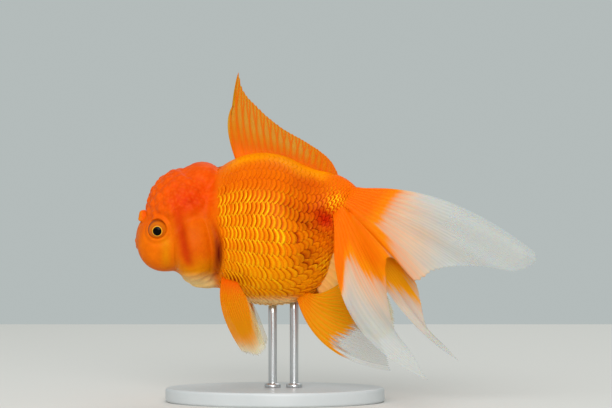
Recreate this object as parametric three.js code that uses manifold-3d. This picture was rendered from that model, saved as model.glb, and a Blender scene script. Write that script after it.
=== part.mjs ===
// A fancy goldfish (oranda) as a still, life-size museum model on a plain display stand.
// Millimetres, +Z up. The fish looks along -X and its left flank is towards -Y.
// The origin is the middle of the stand's underside.
import * as THREE from "three";
import { mergeVertices } from "three/addons/utils/BufferGeometryUtils.js";
import Module from "manifold-3d";

const wasm = await Module();
wasm.setup();

// ---------------------------------------------------------------- driving dimensions
const GAP = 0.3; // clearance between neighbouring pieces
const FIN_ROOT_THICKNESS = 1.0;
const FIN_TIP_THICKNESS = 0.55;
const HEAD_BACK_X = -23.8; // the plane behind the hood
const STALK_FRONT_X = 22; // where the trunk ends and the tail stalk begins, before the bend
const CROWN_EDGE = { x: -55, z: 76, slope: 0.13 }; // the hood's lower edge, seen from the side
const GILL_COVER = { x: -31.6, z: 65.4, halfLength: 8.9, halfHeight: 15, lean: 8, depth: 10 };
const BEND = { from: -2, to: 34, degrees: 30, steps: 240 }; // the stalk curves to the fish's left

// The body is a smooth union of ellipsoids: centre, half-sizes and the width of the blend.
// A lump with y above zero stands for a pair, one on each side.
const LUMPS = [
  { name: "trunk", at: [-5, 0, 73], half: [30.5, 25.0, 32.0], blend: 0 },
  { name: "belly", at: [1.5, 0, 62.6], half: [24.5, 22.5, 21.8], blend: 4 },
  { name: "rump", at: [14, 0, 78], half: [19, 13.0, 19.4], blend: 5 },
  { name: "stalk", at: [27, 0, 82.8], half: [12.8, 6.0, 9.2], blend: 5 },
  { name: "saddle", at: [22, 0, 86], half: [14, 4, 10], blend: 4 },
  { name: "skull", at: [-42, 0, 69], half: [16.6, 15.8, 14.4], blend: 2.5 },
  { name: "hood", at: [-38, 0, 80], half: [15.9, 18.0, 18.0], blend: 3 },
  { name: "nape", at: [-30.6, 0, 92.1], half: [9.6, 12.0, 8.9], blend: 1.5 },
  { name: "cheek", at: [-46.5, 6.4, 65.4], half: [10.8, 9.2, 10.7], blend: 2.5 },
  { name: "gill cover", at: [-33.5, 9.4, 65.5], half: [9.6, 11.8, 15.0], blend: 1.2 },
  { name: "throat", at: [-29.2, 0, 60.1], half: [12.7, 12.0, 13.0], blend: 2.5 },
  { name: "lips", at: [-56.2, 0, 66.6], half: [2.0, 4.0, 2.8], blend: 2 },
];
const HOOD_LOBES = { count: 90, reach: 0.925, radius: 1.9, blend: 1.6, lowest: -0.1 };
const EYE = { at: [-48.0, 12.3, 72.4], radius: 4.5, segments: 14 };
const NOSTRIL_FLAP = { at: [-55.4, 3.8, 78.0], half: [1.8, 1.5, 2.8], segments: 8 };

// The body's skin is drawn as rings round an axis inside it, which rises towards the stalk.
const HEAD_CENTRE = [-41, 0, 70];
const STALK_CENTRE_X = 30;
const AXIS = { z: 70, rise: 8.7, from: -4, to: 26 };
const BODY_GRID = { around: 38, headRings: 12, trunkRings: 18, tailRings: 3 };

// Fin tables. Each row is one guiding ray and the fin is spanned between them. The columns are:
// place along the root from 0 to 1, the tip's x, y and z, the lean at which the ray leaves the
// root in the side view (90 is up, 0 is backwards, -90 is down), its spread there away from the
// middle, and how far it keeps that direction, as a share of the way to the tip.
const DORSAL_RAYS = [
  [0.0, -18.1, 0, 124.0, 112, 0, 0.72],
  [0.025, -16.8, 0, 125.8, 111, 0, 0.68],
  [0.06, -15.5, 0, 138.2, 108, 0, 0.58],
  [0.12, -14.1, 0.3, 132.8, 108, 0, 0.5],
  [0.19, -11.4, 0.5, 128.2, 106, 1, 0.5],
  [0.26, -8.0, 0.8, 124.6, 104, 1, 0.5],
  [0.33, -4.2, 1.0, 120.8, 101, 1, 0.5],
  [0.41, 0.0, 1.1, 117.2, 97, 2, 0.5],
  [0.5, 5.0, 1.0, 113.8, 91, 2, 0.5],
  [0.6, 10.4, 0.2, 110.8, 84, 2, 0.5],
  [0.7, 15.2, -0.8, 107.8, 76, 1, 0.5],
  [0.8, 19.6, -2.2, 104.8, 68, 1, 0.5],
  [0.9, 23.4, -3.6, 101.0, 62, 0, 0.5],
  [1.0, 25.9, -4.8, 96.2, 60, 0, 0.5],
];
const PECTORAL_RAYS = [
  [0.0, -12.8, -27, 22.2, -104, 44, 0.5],
  [0.33, -8.2, -28, 20.8, -94, 40, 0.46],
  [0.66, -4.7, -27.5, 21.2, -78, 36, 0.4],
  [1.0, -3.0, -26, 23.6, -53, 30, 0.35],
];
const PELVIC_RAYS = [
  [0.0, 48.4, -13, 13.8, -73.5, 14, 0.55],
  [0.25, 46.0, -14, 21.8, -66, 14, 0.5],
  [0.5, 40.6, -15, 30.6, -53, 12, 0.45],
  [0.75, 34.6, -15, 40.4, -38, 12, 0.4],
  [1.0, 27.0, -12.5, 50.2, -20, 10, 0.35],
];
const ANAL_RAYS = [
  [0.0, 44.0, -12, 26.0, -60, 12, 0.45],
  [0.35, 50.0, -15.5, 31.0, -50, 17, 0.4],
  [0.7, 48.0, -17, 43.0, -40, 20, 0.4],
  [1.0, 39.0, -13, 56.0, -30, 18, 0.35],
];
const TAIL_LEFT_UPPER_RAYS = [
  [0.0, 107.4, -28, 62.6, 7, 26, 0.5],
  [0.1, 107.2, -28, 59.0, -3, 27, 0.5],
  [0.2, 100.2, -27, 55.0, -9, 28, 0.48],
  [0.3, 90.6, -26, 56.4, -15, 29, 0.46],
  [0.38, 80.4, -25, 57.2, -21, 30, 0.44],
  [0.45, 71.8, -24, 56.8, -27, 32, 0.42],
  [0.5, 65.0, -23, 55.0, -32, 33, 0.4],
  [0.55, 57.4, -22, 51.4, -40, 34, 0.38],
  [0.575, 47.8, -19, 61.3, -46, 35, 0.36],
];
const TAIL_LEFT_LOWER_RAYS = [
  [0.605, 47.2, -19, 60.7, -47, 35, 0.36],
  [0.63, 46.2, -24, 49.4, -58, 37, 0.42],
  [0.69, 46.4, -29, 41.0, -66, 38, 0.48],
  [0.76, 49.2, -34, 33.0, -74, 39, 0.54],
  [0.83, 53.6, -38, 25.6, -81, 40, 0.6],
  [0.9, 57.4, -41, 19.6, -87, 41, 0.66],
  [0.96, 60.6, -43.5, 15.4, -93, 41, 0.72],
  [1.0, 63.2, -45, 12.2, -99, 41, 0.76],
];
const TAIL_RIGHT_UPPER_RAYS = [
  [0.0, 105.6, -9, 62.8, 6, -24, 0.5],
  [0.1, 105.4, -8, 59.6, -3, -22, 0.5],
  [0.2, 98.8, -6, 55.8, -9, -20, 0.48],
  [0.3, 89.4, -4, 57.0, -15, -18, 0.46],
  [0.38, 79.6, -3, 57.8, -21, -16, 0.44],
  [0.45, 71.0, -2, 57.6, -27, -14, 0.42],
  [0.5, 63.6, -1, 57.0, -32, -12, 0.4],
  [0.55, 56.4, -1, 54.0, -38, -10, 0.38],
  [0.575, 49.6, -2, 59.8, -42, -9, 0.36],
];
const TAIL_RIGHT_LOWER_RAYS = [
  [0.62, 48.8, -2, 58.4, -43.5, -9, 0.36],
  [0.64, 59.2, 2, 49.0, -46, -6, 0.42],
  [0.71, 61.2, 4, 42.6, -51, -4, 0.46],
  [0.78, 63.0, 5, 35.0, -55, -2, 0.5],
  [0.85, 66.8, 6, 27.4, -59, 0, 0.54],
  [0.93, 72.8, 7, 21.2, -63, 1, 0.58],
  [1.0, 78.4, 8, 16.6, -67, 2, 0.62],
];

// Each fin's root runs between two points of the straight fish, lifted in the middle by its arch.
// Its grid is the number of steps across its rays and along them.
const DORSAL = { front: [-16.2, 0, 100.6], rear: [27, 0, 89.5], arch: 5.5, grid: [24, 5] };
const PECTORAL = { front: [-22, -12.5, 51.5], rear: [-15, -14.5, 50], grid: [6, 6] };
const PELVIC = { front: [10.5, -6.5, 42.5], rear: [16.5, -6.5, 46], grid: [6, 7] };
const ANAL = { front: [17.5, -1.6, 48.5], rear: [28.5, -2.6, 65], grid: [5, 5], rightTipsShift: 10 };
const TAIL = { front: [35.2, -0.9, 89.0], rear: [28.8, -4.6, 78], upperGrid: [13, 7], lowerGrid: [10, 9] };

const STAND = { length: 92, width: 60, height: 6, bevel: 1.2 };
const ROD = { x: [-1, 8], radius: 1.8, sides: 16 }; // the rods run up until they meet the belly

// ---------------------------------------------------------------- small maths
const radians = THREE.MathUtils.degToRad;
const clamp01 = (t) => THREE.MathUtils.clamp(t, 0, 1);
const smooth = (t) => clamp01(t) ** 2 * (3 - 2 * clamp01(t));

function smoothMin(a, b, width) {
  if (width <= 0) return Math.min(a, b);
  const h = Math.max(width - Math.abs(a - b), 0) / width;
  return Math.min(a, b) - (h * h * width) / 4;
}

// About the signed distance to an ellipsoid, exact on its surface.
function ellipsoid(x, y, z, at, half) {
  const p = [x - at[0], y - at[1], z - at[2]];
  const k0 = Math.hypot(p[0] / half[0], p[1] / half[1], p[2] / half[2]);
  const k1 = Math.hypot(p[0] / half[0] ** 2, p[1] / half[1] ** 2, p[2] / half[2] ** 2);
  return (k0 * (k0 - 1)) / Math.max(k1, 1e-6);
}

// The hood's fleshy lobes sit on a golden-angle spiral over the upper part of its ellipsoid.
function hoodLobes() {
  const hood = LUMPS.find((lump) => lump.name === "hood");
  const goldenAngle = Math.PI * (3 - Math.sqrt(5));
  const lobes = [];
  for (let i = 0; i < HOOD_LOBES.count; i++) {
    const up = 1 - ((i + 0.5) / HOOD_LOBES.count) * (1 - HOOD_LOBES.lowest);
    const ring = Math.sqrt(1 - up * up) * HOOD_LOBES.reach;
    lobes.push([
      hood.at[0] + hood.half[0] * ring * Math.cos(i * goldenAngle),
      hood.at[1] + hood.half[1] * ring * Math.sin(i * goldenAngle),
      hood.at[2] + hood.half[2] * HOOD_LOBES.reach * up,
    ]);
  }
  return lobes;
}
const LOBES = hoodLobes();

// Signed distance to the straight, unbent body.
function bodyDistance(x, y, z) {
  let d = Infinity;
  for (const { at, half, blend } of LUMPS) {
    d = smoothMin(d, ellipsoid(x, at[1] > 0 ? Math.abs(y) : y, z, at, half), blend);
  }
  for (const [lx, ly, lz] of LOBES) {
    const lobe = Math.hypot(x - lx, y - ly, z - lz) - HOOD_LOBES.radius;
    d = smoothMin(d, lobe, HOOD_LOBES.blend);
  }
  return d;
}

// ---------------------------------------------------------------- solids and geometry
function toSolid(geometry) {
  const bare = geometry.clone();
  bare.deleteAttribute("normal");
  bare.deleteAttribute("uv");
  const merged = mergeVertices(bare, 1e-4);
  return new wasm.Manifold(
    new wasm.Mesh({
      numProp: 3,
      vertProperties: new Float32Array(merged.attributes.position.array),
      triVerts: new Uint32Array(merged.index.array),
    }),
  );
}

function toGeometry(solid) {
  const mesh = solid.getMesh();
  const positions = new Float32Array(mesh.numVert * 3);
  for (let i = 0; i < mesh.numVert; i++) {
    const from = i * mesh.numProp;
    positions.set(mesh.vertProperties.subarray(from, from + 3), i * 3);
  }
  const geometry = new THREE.BufferGeometry();
  geometry.setAttribute("position", new THREE.BufferAttribute(positions, 3));
  geometry.setIndex(new THREE.BufferAttribute(new Uint32Array(mesh.triVerts), 1));
  geometry.computeVertexNormals();
  return geometry;
}

// Six times the volume inside a mesh; it is below zero where the faces point inwards.
function signedVolume(geometry) {
  const [corners, index] = [geometry.attributes.position, geometry.index.array];
  const [a, b, c] = [new THREE.Vector3(), new THREE.Vector3(), new THREE.Vector3()];
  let sum = 0;
  for (let i = 0; i < index.length; i += 3) {
    a.fromBufferAttribute(corners, index[i]);
    b.fromBufferAttribute(corners, index[i + 1]);
    c.fromBufferAttribute(corners, index[i + 2]);
    sum += a.dot(b.cross(c));
  }
  return sum;
}

// The biggest of the bodies that a cut leaves.
function largest(solid) {
  return solid.decompose().reduce((a, b) => (a.volume() > b.volume() ? a : b));
}

function boxSolid([x0, y0, z0], [x1, y1, z1]) {
  const box = new THREE.BoxGeometry(x1 - x0, y1 - y0, z1 - z0);
  return toSolid(box.translate((x0 + x1) / 2, (y0 + y1) / 2, (z0 + z1) / 2));
}

function ellipsoidSolid(at, half, segments) {
  const ball = new THREE.SphereGeometry(1, segments, Math.round(segments * 0.7));
  return toSolid(ball.scale(...half).translate(...at));
}

// A closed skin through rings of points, with a point at each end.
function skinThroughRings(start, rings, end) {
  const around = rings[0].length;
  const points = [start, ...rings.flat(), end];
  const faces = [];
  const at = (ring, i) => 1 + ring * around + (i % around);
  for (let i = 0; i < around; i++) {
    faces.push(0, at(0, i), at(0, i + 1));
    for (let ring = 0; ring + 1 < rings.length; ring++) {
      const [a, b] = [at(ring, i), at(ring, i + 1)];
      const [c, d] = [at(ring + 1, i), at(ring + 1, i + 1)];
      faces.push(a, c, b, b, c, d);
    }
    faces.push(at(rings.length - 1, i), points.length - 1, at(rings.length - 1, i + 1));
  }
  const geometry = new THREE.BufferGeometry();
  geometry.setAttribute("position", new THREE.Float32BufferAttribute(points.flat(), 3));
  geometry.setIndex(faces);
  return geometry;
}

// ---------------------------------------------------------------- the body
const axisZ = (x) => AXIS.z + AXIS.rise * smooth((x - AXIS.from) / (AXIS.to - AXIS.from));
const OUTSIDE = 60; // further from the axis than any part of the body
const HALVINGS = 32;

// The point where a line from inside the body meets the surface that lies `offset` outside it.
function surfacePoint(origin, direction, offset) {
  let [inside, outside] = [0, OUTSIDE];
  for (let step = 0; step < HALVINGS; step++) {
    const r = (inside + outside) / 2;
    const p = origin.map((o, i) => o + direction[i] * r);
    if (bodyDistance(...p) < offset) inside = r;
    else outside = r;
  }
  return origin.map((o, i) => o + (direction[i] * (inside + outside)) / 2);
}

// Rings fan out round the middle of the head, run along the trunk and close round the stalk's end.
function bodyGeometry(offset, { around, headRings, trunkRings, tailRings }) {
  const rings = [];
  const ring = (origin, lean) => {
    const points = [];
    for (let i = 0; i < around; i++) {
      const turn = (2 * Math.PI * (i + 0.5)) / around;
      const direction = [
        -Math.cos(lean),
        Math.sin(lean) * Math.sin(turn),
        Math.sin(lean) * Math.cos(turn),
      ];
      points.push(surfacePoint(origin, direction, offset));
    }
    rings.push(points);
  };
  const tailCentre = [STALK_CENTRE_X, 0, axisZ(STALK_CENTRE_X)];
  for (let i = 1; i < headRings; i++) ring(HEAD_CENTRE, (Math.PI / 2) * (i / headRings));
  for (let i = 0; i <= trunkRings; i++) {
    const x = THREE.MathUtils.lerp(HEAD_CENTRE[0], STALK_CENTRE_X, i / trunkRings);
    ring([x, 0, axisZ(x)], Math.PI / 2);
  }
  for (let i = 1; i < tailRings; i++) ring(tailCentre, (Math.PI / 2) * (1 + i / tailRings));
  return skinThroughRings(
    surfacePoint(HEAD_CENTRE, [-1, 0, 0], offset),
    rings,
    surfacePoint(tailCentre, [1, 0, 0], offset),
  );
}

// The spine turns towards the fish's left, slowly at both ends of the bend, and each point keeps
// its distance to the side of it. The spine's own points are summed up in short steps.
const BEND_STEP = (BEND.to - BEND.from) / BEND.steps;
const heading = (x) => radians(BEND.degrees) * smooth((x - BEND.from) / (BEND.to - BEND.from));
const SPINE = [[BEND.from, 0]];
for (let i = 0; i < BEND.steps; i++) {
  const angle = heading(BEND.from + (i + 0.5) * BEND_STEP);
  const [x, y] = SPINE[i];
  SPINE.push([x + BEND_STEP * Math.cos(angle), y - BEND_STEP * Math.sin(angle)]);
}

function bendPoint(x, y, z) {
  const station = (x - BEND.from) / BEND_STEP;
  const before = THREE.MathUtils.clamp(Math.floor(station), 0, BEND.steps);
  const rest = (station - before) * BEND_STEP;
  const angle = heading(x);
  const spineX = SPINE[before][0] + rest * Math.cos(angle);
  const spineY = SPINE[before][1] - rest * Math.sin(angle);
  return [spineX + y * Math.sin(angle), spineY + y * Math.cos(angle), z];
}

function bent(geometry) {
  const position = geometry.attributes.position;
  for (let i = 0; i < position.count; i++) {
    position.setXYZ(i, ...bendPoint(position.getX(i), position.getY(i), position.getZ(i)));
  }
  return geometry;
}

const straightBody = toSolid(bodyGeometry(0, BODY_GRID));
const clearBody = toSolid(bent(bodyGeometry(GAP, BODY_GRID)));

// ---------------------------------------------------------------- cutting the body into its parts
const FAR = 200; // bigger than the whole fish

// Half of space above the hood's lower edge, as a big tilted block moved up by `lift`.
function aboveCrownEdge(lift) {
  const block = new THREE.BoxGeometry(FAR, FAR, FAR).translate(0, 0, FAR / 2);
  block.rotateY(-Math.atan(CROWN_EDGE.slope));
  return toSolid(block.translate(CROWN_EDGE.x, 0, CROWN_EDGE.z + lift));
}

// The outline of one gill cover, pushed in from the side; side is 1 for the left and -1 for the right.
function gillCoverZone(side, grow) {
  const { x, z, halfLength, halfHeight, lean, depth } = GILL_COVER;
  const outline = new THREE.Shape();
  outline.absellipse(0, 0, halfLength + grow, halfHeight + grow, 0, 2 * Math.PI);
  const zone = new THREE.ExtrudeGeometry(outline, { depth: FAR, bevelEnabled: false, curveSegments: 10 });
  zone.rotateX(Math.PI / 2).rotateY(radians(-lean));
  zone.translate(x, side > 0 ? grow - depth : depth - grow + FAR, z);
  return toSolid(zone);
}

const headBlock = boxSolid([-FAR, -FAR, -FAR], [HEAD_BACK_X, FAR, FAR]);
const behindHead = boxSolid([HEAD_BACK_X + GAP, -FAR, -FAR], [STALK_FRONT_X, FAR, FAR]);
const stalkBlock = boxSolid([STALK_FRONT_X + GAP, -FAR, -FAR], [FAR, FAR, FAR]);

const eyeAt = (side) => [EYE.at[0], -side * EYE.at[1], EYE.at[2]];
const eyeSolid = (side, grow) => ellipsoidSolid(eyeAt(side), Array(3).fill(EYE.radius + grow), EYE.segments);
const nostrilAt = (side) => [NOSTRIL_FLAP.at[0], -side * NOSTRIL_FLAP.at[1], NOSTRIL_FLAP.at[2]];
const nostrilSolid = (side) => ellipsoidSolid(nostrilAt(side), NOSTRIL_FLAP.half, NOSTRIL_FLAP.segments);

// The gill covers are cut out of the body first, and the rest is parted into hood, face and trunk.
let socketed = straightBody;
for (const side of [1, -1]) socketed = socketed.subtract(eyeSolid(side, GAP));
const gillCover = (side) => largest(socketed.subtract(aboveCrownEdge(0)).intersect(gillCoverZone(side, 0)));
let coverless = socketed;
for (const side of [1, -1]) {
  coverless = coverless.subtract(gillCoverZone(side, GAP).subtract(aboveCrownEdge(GAP)));
}
const headSolid = coverless.intersect(headBlock);
const hoodSolid = largest(headSolid.intersect(aboveCrownEdge(GAP)));
const faceSolid = largest(headSolid.subtract(aboveCrownEdge(0)));
const trunkSolid = largest(coverless.intersect(behindHead));
const stalkSolid = largest(straightBody.intersect(stalkBlock));

// ---------------------------------------------------------------- fins
// A smooth curve through each column of a fin table, by cubic pieces with averaged slopes.
function rayAt(rays, u) {
  let i = 0;
  while (i < rays.length - 2 && u > rays[i + 1][0]) i++;
  const [a, b] = [rays[i], rays[i + 1]];
  const span = b[0] - a[0];
  const t = (u - a[0]) / span;
  const slope = (j, column) => {
    const [before, after] = [rays[Math.max(j - 1, 0)], rays[Math.min(j + 1, rays.length - 1)]];
    return (after[column] - before[column]) / (after[0] - before[0]);
  };
  return a.slice(1).map((_, k) => {
    const column = k + 1;
    return (
      a[column] * (1 + 2 * t) * (1 - t) ** 2 +
      b[column] * t * t * (3 - 2 * t) +
      span * slope(i, column) * t * (1 - t) ** 2 -
      span * slope(i + 1, column) * t * t * (1 - t)
    );
  });
}

// Points along one ray: a quadratic curve that leaves the root at its lean and spread.
function rayPoints({ root, rays, mirror }, u, steps) {
  const [tipX, tipY, tipZ, lean, spread, reach] = rayAt(rays, u);
  const start = new THREE.Vector3(...root(u));
  const tip = new THREE.Vector3(tipX, mirror ? -tipY : tipY, tipZ);
  const [tilt, out] = [radians(lean), radians(mirror ? -spread : spread)];
  const leaving = new THREE.Vector3(
    Math.cos(out) * Math.cos(tilt),
    -Math.sin(out),
    Math.cos(out) * Math.sin(tilt),
  );
  const control = start.clone().addScaledVector(leaving, reach * start.distanceTo(tip));
  return new THREE.QuadraticBezierCurve3(start, control, tip).getPoints(steps);
}

// A fin between two places along its root, as a closed sheet that thins towards its edge.
function finGeometry(fin, from, to, across, steps) {
  const grid = [];
  for (let i = 0; i <= across; i++) {
    grid.push(rayPoints(fin, THREE.MathUtils.lerp(from, to, i / across), steps));
  }
  const vector = (i, j) => grid[i][j].clone();
  const faceSide = (sign) =>
    grid.map((ray, i) =>
      ray.map((_, j) => {
        const acrossway = vector(Math.min(i + 1, across), j).sub(vector(Math.max(i - 1, 0), j));
        const along = vector(i, Math.min(j + 1, steps)).sub(vector(i, Math.max(j - 1, 0)));
        const thickness = THREE.MathUtils.lerp(FIN_ROOT_THICKNESS, FIN_TIP_THICKNESS, j / steps);
        const normal = acrossway.cross(along).normalize();
        return vector(i, j).addScaledVector(normal, (sign * thickness) / 2).toArray();
      }),
    );
  const points = [...faceSide(1).flat(), ...faceSide(-1).flat()];
  const columns = steps + 1;
  const back = (across + 1) * columns;
  const faces = [];
  for (let i = 0; i < across; i++) {
    for (let j = 0; j < steps; j++) {
      const a = i * columns + j;
      const [b, c, d] = [a + columns, a + 1, a + columns + 1];
      faces.push(a, b, c, b, d, c);
      faces.push(a + back, c + back, b + back, b + back, c + back, d + back);
    }
  }
  const stitch = (p, q) => faces.push(p, p + back, q, q, p + back, q + back);
  for (let i = 0; i < across; i++) {
    stitch(i * columns, (i + 1) * columns);
    stitch((i + 1) * columns + steps, i * columns + steps);
  }
  for (let j = 0; j < steps; j++) {
    stitch(j + 1, j);
    stitch(across * columns + j, across * columns + j + 1);
  }
  const geometry = new THREE.BufferGeometry();
  geometry.setAttribute("position", new THREE.Float32BufferAttribute(points.flat(), 3));
  geometry.setIndex(faces);
  return geometry;
}

// A root line is drawn on the straight fish and then bent with the body.
function rootLine({ front, rear, arch = 0 }, side) {
  return (u) => {
    const [x, y, z] = front.map((value, i) => THREE.MathUtils.lerp(value, rear[i], u));
    return bendPoint(x, side < 0 ? -y : y, z + arch * 4 * u * (1 - u));
  };
}

// A fin's closed sheet, turned the right way out and trimmed where it meets the body.
function finSolid(fin, [across, steps]) {
  const [first, last] = [fin.rays[0][0], fin.rays[fin.rays.length - 1][0]];
  const geometry = finGeometry(fin, first, last, across, steps);
  if (signedVolume(geometry) < 0) geometry.setIndex([...geometry.index.array].reverse());
  return largest(toSolid(geometry).subtract(clearBody));
}

const dorsalFin = { rays: DORSAL_RAYS, root: rootLine(DORSAL, 1) };
const pectoralFin = (side) => ({ rays: PECTORAL_RAYS, root: rootLine(PECTORAL, side), mirror: side < 0 });
const pelvicFin = (side) => ({ rays: PELVIC_RAYS, root: rootLine(PELVIC, side), mirror: side < 0 });
const analFin = (side) => {
  const shift = side > 0 ? 0 : ANAL.rightTipsShift;
  const rays = ANAL_RAYS.map(([u, x, y, ...rest]) => [u, x, y + shift, ...rest]);
  return { rays, root: rootLine(ANAL, side) };
};
const tailFin = (rays, side) => ({ rays, root: rootLine(TAIL, side) });

// ---------------------------------------------------------------- the stand
function standBase() {
  const { length, width, height, bevel } = STAND;
  const outline = new THREE.Shape();
  outline.absellipse(0, 0, length / 2 - bevel, width / 2 - bevel, 0, 2 * Math.PI);
  const plate = new THREE.ExtrudeGeometry(outline, {
    depth: height - 2 * bevel,
    bevelThickness: bevel,
    bevelSize: bevel,
    bevelSegments: 2,
    curveSegments: 14,
  });
  return toSolid(plate.translate(0, 0, bevel));
}

function standRod(x) {
  const foot = STAND.height + GAP;
  const length = AXIS.z - foot;
  const rod = new THREE.CylinderGeometry(ROD.radius, ROD.radius, length, ROD.sides);
  rod.rotateX(Math.PI / 2).translate(x, 0, foot + length / 2);
  return largest(toSolid(rod).subtract(clearBody));
}

// ---------------------------------------------------------------- the model
const orange = new THREE.MeshStandardMaterial({ color: 0xf07010, roughness: 0.45 });
const redOrange = new THREE.MeshStandardMaterial({ color: 0xf4560c, roughness: 0.5 });
const gold = new THREE.MeshStandardMaterial({ color: 0xf09a0c, roughness: 0.35, metalness: 0.3 });
const finOrange = new THREE.MeshStandardMaterial({ color: 0xe8840c, roughness: 0.5 });
const finWhite = new THREE.MeshStandardMaterial({ color: 0xe6dcd4, roughness: 0.5 });
const eyeBlack = new THREE.MeshStandardMaterial({ color: 0x1a1208, roughness: 0.15 });
const standGrey = new THREE.MeshStandardMaterial({ color: 0xc8cacb, roughness: 0.35 });
const standSteel = new THREE.MeshStandardMaterial({ color: 0xb8babc, roughness: 0.3, metalness: 1 });

const goldfish = new THREE.Group();
function add(name, geometry, material) {
  const mesh = new THREE.Mesh(geometry, material);
  mesh.name = name;
  goldfish.add(mesh);
}

add("hood", toGeometry(hoodSolid), redOrange);
add("face", toGeometry(faceSolid), orange);
add("trunk", bent(toGeometry(trunkSolid)), gold);
add("tail_stalk", bent(toGeometry(stalkSolid)), orange);
add("dorsal_fin", toGeometry(finSolid(dorsalFin, DORSAL.grid)), finOrange);
for (const [side, name, upperRays, lowerRays] of [
  [1, "left", TAIL_LEFT_UPPER_RAYS, TAIL_LEFT_LOWER_RAYS],
  [-1, "right", TAIL_RIGHT_UPPER_RAYS, TAIL_RIGHT_LOWER_RAYS],
]) {
  const flap = largest(nostrilSolid(side).subtract(clearBody));
  add(`gill_cover_${name}`, toGeometry(gillCover(side)), orange);
  add(`eye_${name}`, toGeometry(eyeSolid(side, 0)), eyeBlack);
  add(`nostril_flap_${name}`, toGeometry(flap), orange);
  add(`pectoral_fin_${name}`, toGeometry(finSolid(pectoralFin(side), PECTORAL.grid)), finOrange);
  add(`pelvic_fin_${name}`, toGeometry(finSolid(pelvicFin(side), PELVIC.grid)), finOrange);
  add(`anal_fin_${name}`, toGeometry(finSolid(analFin(side), ANAL.grid)), finOrange);
  add(`tail_upper_lobe_${name}`, toGeometry(finSolid(tailFin(upperRays, side), TAIL.upperGrid)), finWhite);
  add(`tail_lower_lobe_${name}`, toGeometry(finSolid(tailFin(lowerRays, side), TAIL.lowerGrid)), finWhite);
}
add("stand_base", toGeometry(standBase()), standGrey);
ROD.x.forEach((x, i) => add(`stand_rod_${i + 1}`, toGeometry(standRod(x)), standSteel));

export default goldfish;
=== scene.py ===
"""A fancy goldfish (oranda), a still life-size model on a plain stand.

Shapes are worked out in millimetres, in the frame's axes: the fish looks along -X, its left
flank is towards -Y and +Z is up. They are turned into metres as each mesh is made.
"""

import bpy
import numpy as np
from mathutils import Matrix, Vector


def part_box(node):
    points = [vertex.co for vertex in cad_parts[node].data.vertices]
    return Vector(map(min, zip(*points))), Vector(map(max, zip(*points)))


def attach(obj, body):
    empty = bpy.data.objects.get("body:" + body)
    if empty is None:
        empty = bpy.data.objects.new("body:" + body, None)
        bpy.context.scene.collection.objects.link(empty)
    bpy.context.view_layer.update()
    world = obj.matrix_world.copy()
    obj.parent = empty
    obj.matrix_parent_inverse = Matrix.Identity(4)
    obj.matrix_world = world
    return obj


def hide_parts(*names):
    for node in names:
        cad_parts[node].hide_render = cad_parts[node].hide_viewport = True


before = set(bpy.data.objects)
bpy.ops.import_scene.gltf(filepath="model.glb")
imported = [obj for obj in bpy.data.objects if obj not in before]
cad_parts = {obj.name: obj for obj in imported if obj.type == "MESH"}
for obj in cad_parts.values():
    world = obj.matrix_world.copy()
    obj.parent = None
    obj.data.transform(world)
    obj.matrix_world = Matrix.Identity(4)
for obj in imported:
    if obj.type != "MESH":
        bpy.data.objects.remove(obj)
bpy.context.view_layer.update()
scene = bpy.context.scene


# ---------------------------------------------------------------- camera, light and floor
# A long lens level with the middle of the fish's flank, a pale floor that ends behind it, a pale
# grey surround, and three large soft lamps: one above and ahead, one further off and one behind.
def aim(thing, place, target):
    """Puts a camera or lamp at a place and turns its -Z axis towards the target."""
    thing.location = place
    thing.rotation_euler = (Vector(target) - Vector(place)).to_track_quat("-Z", "Y").to_euler()
    scene.collection.objects.link(thing)


flank = Vector((0.013, 0.0, 0.083))
camera_distance = 0.964
lens = bpy.data.cameras.new("camera")
lens.lens = 135
lens.sensor_width = 36
lens.clip_end = 20
camera = bpy.data.objects.new("camera", lens)
aim(camera, flank - Vector((0, camera_distance, 0)), flank)
scene.camera = camera

for lamp_name, place, size, power in [
    ("key_light", (-0.35, -0.85, 0.80), 0.9, 4.9),
    ("front_light", (0.10, -1.7, 0.62), 1.0, 17.4),
    ("back_light", (0.25, 0.75, 0.95), 0.9, 2.8),
]:
    lamp = bpy.data.lights.new(lamp_name, "AREA")
    lamp.shape = "DISK"
    lamp.size = size
    lamp.energy = power
    aim(bpy.data.objects.new(lamp_name, lamp), place, flank)

surround = bpy.data.worlds.new("surround")
scene.world = surround
surround.use_nodes = True
surround.node_tree.nodes["Background"].inputs["Color"].default_value = (0.455, 0.50, 0.495, 1)
surround.node_tree.nodes["Background"].inputs["Strength"].default_value = 1.0
scene.view_settings.view_transform = "Standard"
scene.view_settings.look = "None"


def new_material(name):
    """A material whose node tree holds one Principled shader and its output."""
    material = bpy.data.materials.new(name)
    material.use_nodes = True
    nodes = material.node_tree.nodes
    return material, nodes, material.node_tree.links, nodes["Principled BSDF"]


def set_inputs(node, **values):
    """Sets a node's input sockets by name, with spaces written as underscores, or its settings."""
    for key, value in values.items():
        socket = node.inputs.get(key.replace("_", " "))
        if socket is None:
            setattr(node, key, value)
        else:
            socket.default_value = value
    return node


floor_front, floor_back, floor_side = -0.4, 0.62, 2
floor_corners = [
    (-floor_side, floor_front, 0), (floor_side, floor_front, 0),
    (floor_side, floor_back, 0), (-floor_side, floor_back, 0),
]
floor_mesh = bpy.data.meshes.new("floor")
floor_mesh.from_pydata(floor_corners, [], [(0, 1, 2, 3)])
floor = bpy.data.objects.new("floor", floor_mesh)
scene.collection.objects.link(floor)
floor_paint, nodes, links, shader = new_material("floor_paint")
set_inputs(shader, Base_Color=(0.71, 0.69, 0.66, 1), Roughness=0.9, Specular_IOR_Level=0.0)
floor_mesh.materials.append(floor_paint)


# ---------------------------------------------------------------- the display stand
# A flat elliptical base of satin grey acrylic with rounded edges, and two slim brushed steel rods
# that stand in it in small collars. They end against the belly.
MM = 0.001


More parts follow.
